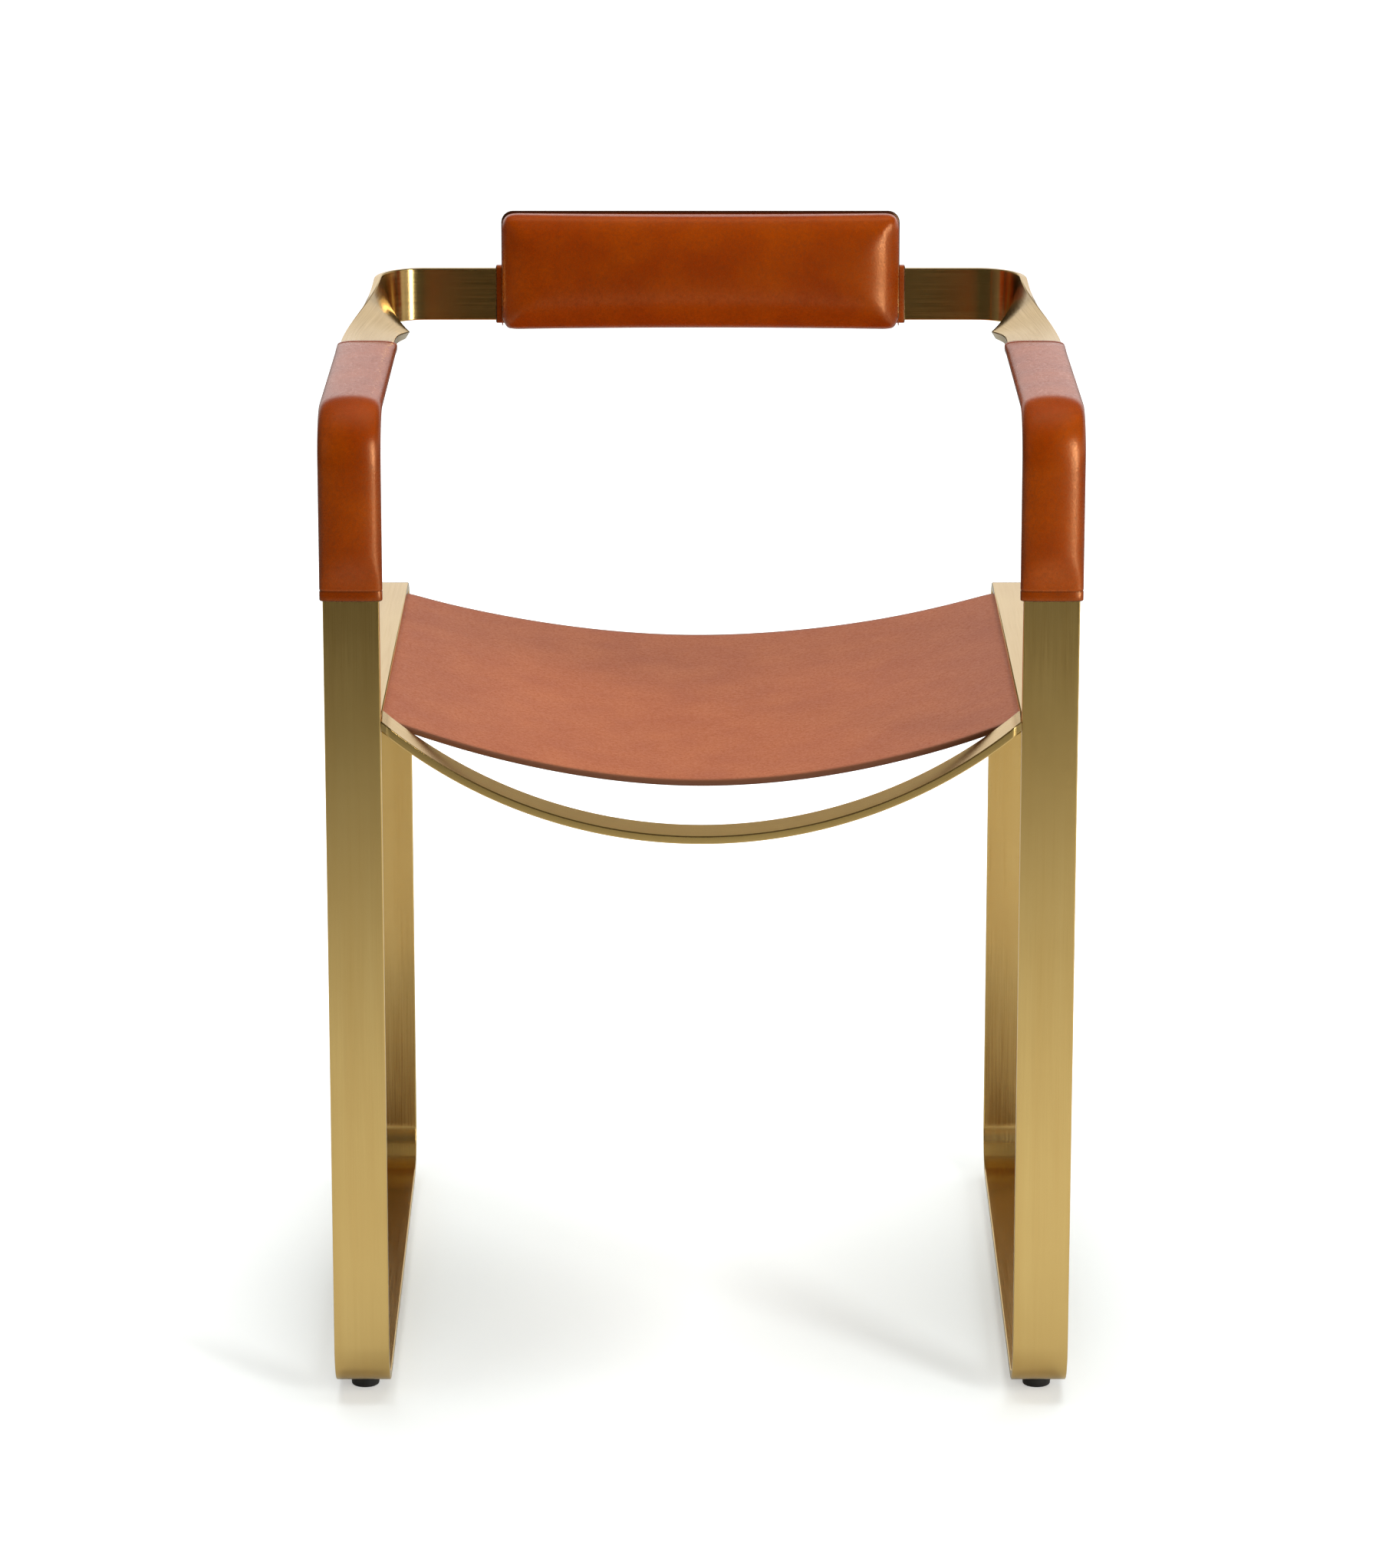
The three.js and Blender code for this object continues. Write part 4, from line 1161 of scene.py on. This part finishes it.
bar_lift = BAR_THICKNESS / 2 + FIT_GAP - THREAD_SINK
sleeve_lift = bar_lift + SLEEVE_THICKNESS + SLEEVE_UNDER_PADDING
seam_length = sleeve_length - 2 * SLEEVE_SEAM_INSET
seam_runs = [SLEEVE_SEAM_INSET + seam_length * k / SLEEVE_SEAM_STEPS
             for k in range(SLEEVE_SEAM_STEPS + 1)]
for hand, side in HANDS.items():
    places = [station(side * bar_centre_x, *on_sleeve(run)) for run in seam_runs]
    stitched(f"{hand}_sleeve_seam", [centre + face * sleeve_lift for centre, _, face in places],
             [face for _, _, face in places], SEAM)

band_line = on_arms([Vector((x, back_rail_run + bar_lift + BAND_THICKNESS, BACK_RAIL_LIFT))
                     for x in (band_low.x + BAND_SEAM_INSET, band_high.x - BAND_SEAM_INSET)])
stitched("rail_band_seam", band_line, [REAR] * len(band_line), SEAM)

panel_line = on_arms(ring_at(pad_station(panel_rear_run), eased_outline(
    PAD_WIDTH - 2 * PANEL_SEAM_INSET, PAD_HEIGHT - 2 * PANEL_SEAM_INSET, PANEL_SEAM_CORNER)))
stitched("cushion_panel_seam", panel_line, [REAR] * len(panel_line), PANEL_SEAM, closed=True)

pad_bottom = pad_lift - PAD_HEIGHT / 2
for hand, side in HANDS.items():
    points = []
    for k in range(END_SEAM_STEPS + 1):
        lift = pad_bottom + END_SEAM_LOW + (END_SEAM_HIGH - END_SEAM_LOW) * k / END_SEAM_STEPS
        drawn = PAD_SIDE_DRAW * (1 - ((lift - pad_lift) / (PAD_HEIGHT / 2)) ** 2)
        x = side * (PAD_WIDTH / 2 - PAD_SHY - drawn - END_SEAM_SINK)
        points.append(Vector((x, pad_edge_run + END_SEAM_SETBACK, lift)))
    facing = Vector((side * END_SEAM_OUTWARDS, END_SEAM_FORWARDS, 0))
    stitched(f"{hand}_cushion_end_seam", on_arms(points), [facing] * len(points), END_SEAM)

# %% [markdown]
# ## Screws
#
# The clamp strips under the seat and the glides are held by socket screws. One
# Geometry Nodes tree makes a screw from its sizes: a head with a chamfer, a
# hexagonal socket cut into it and a plain shank. It is placed at each spot
# with its head facing out. The spots come from the CAD screws' own boxes.

# %% Screw tree
CHAMFER_SHARE, SOCKET_SHARE = 0.25, 0.55
SCREW_FACETS = 24


def screw_tree():
    """Socket head screws on points, the head's outer face at the point."""
    tree, add, given = new_tree("screws", {
        "Head Radius": "Float", "Head Height": "Float", "Shank Radius": "Float",
        "Length": "Float", "Socket Radius": "Float", "Socket Depth": "Float",
        "Steel": "Material",
    })

    def sized(operation, first, second):
        return add("ShaderNodeMath", {0: first, 1: second}, operation=operation)

    chamfer = sized("MULTIPLY", given["Head Height"], CHAMFER_SHARE)
    side_height = sized("SUBTRACT", given["Head Height"], chamfer)
    top = add("GeometryNodeMeshCone", {
        "Vertices": SCREW_FACETS, "Radius Top": sized("SUBTRACT", given["Head Radius"], chamfer),
        "Radius Bottom": given["Head Radius"], "Depth": chamfer,
    })
    head, shank, socket = [add("GeometryNodeMeshCylinder", {
        "Vertices": facets, "Radius": given[radius], "Depth": depth,
    }) for facets, radius, depth in (
        (SCREW_FACETS, "Head Radius", side_height),
        (SCREW_FACETS, "Shank Radius", given["Length"]),
        (6, "Socket Radius", sized("MULTIPLY", given["Socket Depth"], 2.0)),
    )]
    head_middle = sized("SUBTRACT", sized("MULTIPLY", side_height, -0.5), chamfer)
    joined = add("GeometryNodeMeshBoolean", operation="UNION", solver="EXACT")
    for part, height in ((top, sized("MULTIPLY", chamfer, -1.0)), (head, head_middle),
                         (shank, sized("MULTIPLY", given["Length"], -0.5))):
        lift = add("ShaderNodeCombineXYZ", {"Z": height})
        placed = add("GeometryNodeTransform", {"Geometry": part, "Translation": lift})
        tree.links.new(placed.outputs["Geometry"], joined.inputs["Mesh 2"])
    drilled = add("GeometryNodeMeshBoolean", {"Mesh 1": joined, "Mesh 2": socket},
                  operation="DIFFERENCE", solver="EXACT")
    facing = add("GeometryNodeInputNamedAttribute", {"Name": FACING}, data_type="FLOAT_VECTOR")
    turned = add("FunctionNodeAlignRotationToVector", {"Vector": facing}, axis="Z")
    spots = add("GeometryNodeInstanceOnPoints", {
        "Points": given["Geometry"], "Instance": drilled, "Rotation": turned,
    })
    real = add("GeometryNodeRealizeInstances", {"Geometry": spots})
    steel = add("GeometryNodeSetMaterial", {"Geometry": real, "Material": given["Steel"]})
    add("NodeGroupOutput", {"Geometry": steel})
    return tree


SCREWS = screw_tree()
print("Screw inputs:", [i.name for i in SCREWS.interface.items_tree if i.in_out == "INPUT"])


# %% Seat and glide screws
ENDS = ("front", "rear")


def screw_set(name, nodes, facing, head_radius, head_height, shank_radius, socket_radius):
    """Screws in place of CAD ones, each at the outer end of its box."""
    facing = Vector(facing).normalized()
    points, length = [], 0.0
    for node in nodes:
        low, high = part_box(node)
        length = high.z - low.z - 2 * head_radius * abs(facing.y)
        points.append((low + high) / 2 + facing * length / 2)
    mesh = grown(name, points, [facing] * len(points), [], SCREWS, {
        "Head Radius": head_radius, "Head Height": head_height, "Shank Radius": shank_radius,
        "Length": length, "Socket Radius": socket_radius,
        "Socket Depth": head_height * SOCKET_SHARE, "Steel": ZINC,
    })
    fit(mesh, "zinc_steel", *nodes, flat_faces=False)


screw_set("seat_clamp_screws", [f"seat_screw_{hand}_{i}" for hand in HANDS for i in range(1, 6)],
          (0, -rail_slope, -1), head_radius=4.2 * MM, head_height=2.4 * MM, shank_radius=2 * MM,
          socket_radius=1.6 * MM)
screw_set("glide_screws", [f"glide_screw_{end}_{hand}" for end in ENDS for hand in HANDS],
          (0, 0, -1), head_radius=4.6 * MM, head_height=3 * MM, shank_radius=2.5 * MM,
          socket_radius=2 * MM)

# %% [markdown]
# ## Glides
#
# Four turned nylon feet keep the brass off the floor. Each is a closed loop of
# rings: the eased sole, the tapered side, the top and the counterbore that hides
# the screw.

# %% Glides
# Radius and height of each ring in millimetres, from the sole's inner edge on.
GLIDE_PROFILE = ((5.1, 0.0), (9.2, 0.0), (9.8, 0.2), (10.1, 0.8), (10.8, 8.4), (10.6, 9.3),
                 (10.1, 9.6), (2.9, 9.6), (2.9, 5.6), (4.9, 5.6), (4.9, 0.3))
GLIDE_FACETS = 48

turns = [math.tau * k / GLIDE_FACETS for k in range(GLIDE_FACETS)]
for node in [f"glide_{end}_{hand}" for end in ENDS for hand in HANDS]:
    low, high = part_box(node)
    sole = Vector(((low.x + high.x) / 2, (low.y + high.y) / 2, low.z))
    rings = [[sole + Vector((radius * math.cos(turn), radius * math.sin(turn), height)) * MM
              for turn in turns] for radius, height in GLIDE_PROFILE]
    fit(skin(f"nylon_{node}", rings, NYLON, looped=True), "black_plastic", node)

# %% [markdown]
# ## Solids that stay
#
# The clamp strips, the board and the cushion's screws have the right shape
# already. They keep their CAD meshes and only get real finishes.

# %% Finishes for kept solids
KEPT = {"back_pad_board": PLYWOOD, **{f"seat_clamp_{hand}": ZINC for hand in HANDS},
        **{f"back_pad_screw_{i}": ZINC for i in range(1, 5)}}
for node, finish in KEPT.items():
    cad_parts[node].data.materials.clear()
    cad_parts[node].data.materials.append(finish)
print(len(KEPT), "CAD solids stay, with new finishes")

# %% [markdown]
# ## Finish
#
# The view transform is the plain one, so colours come out as written.

# %% Finish
bpy.context.scene.view_settings.view_transform = "Standard"
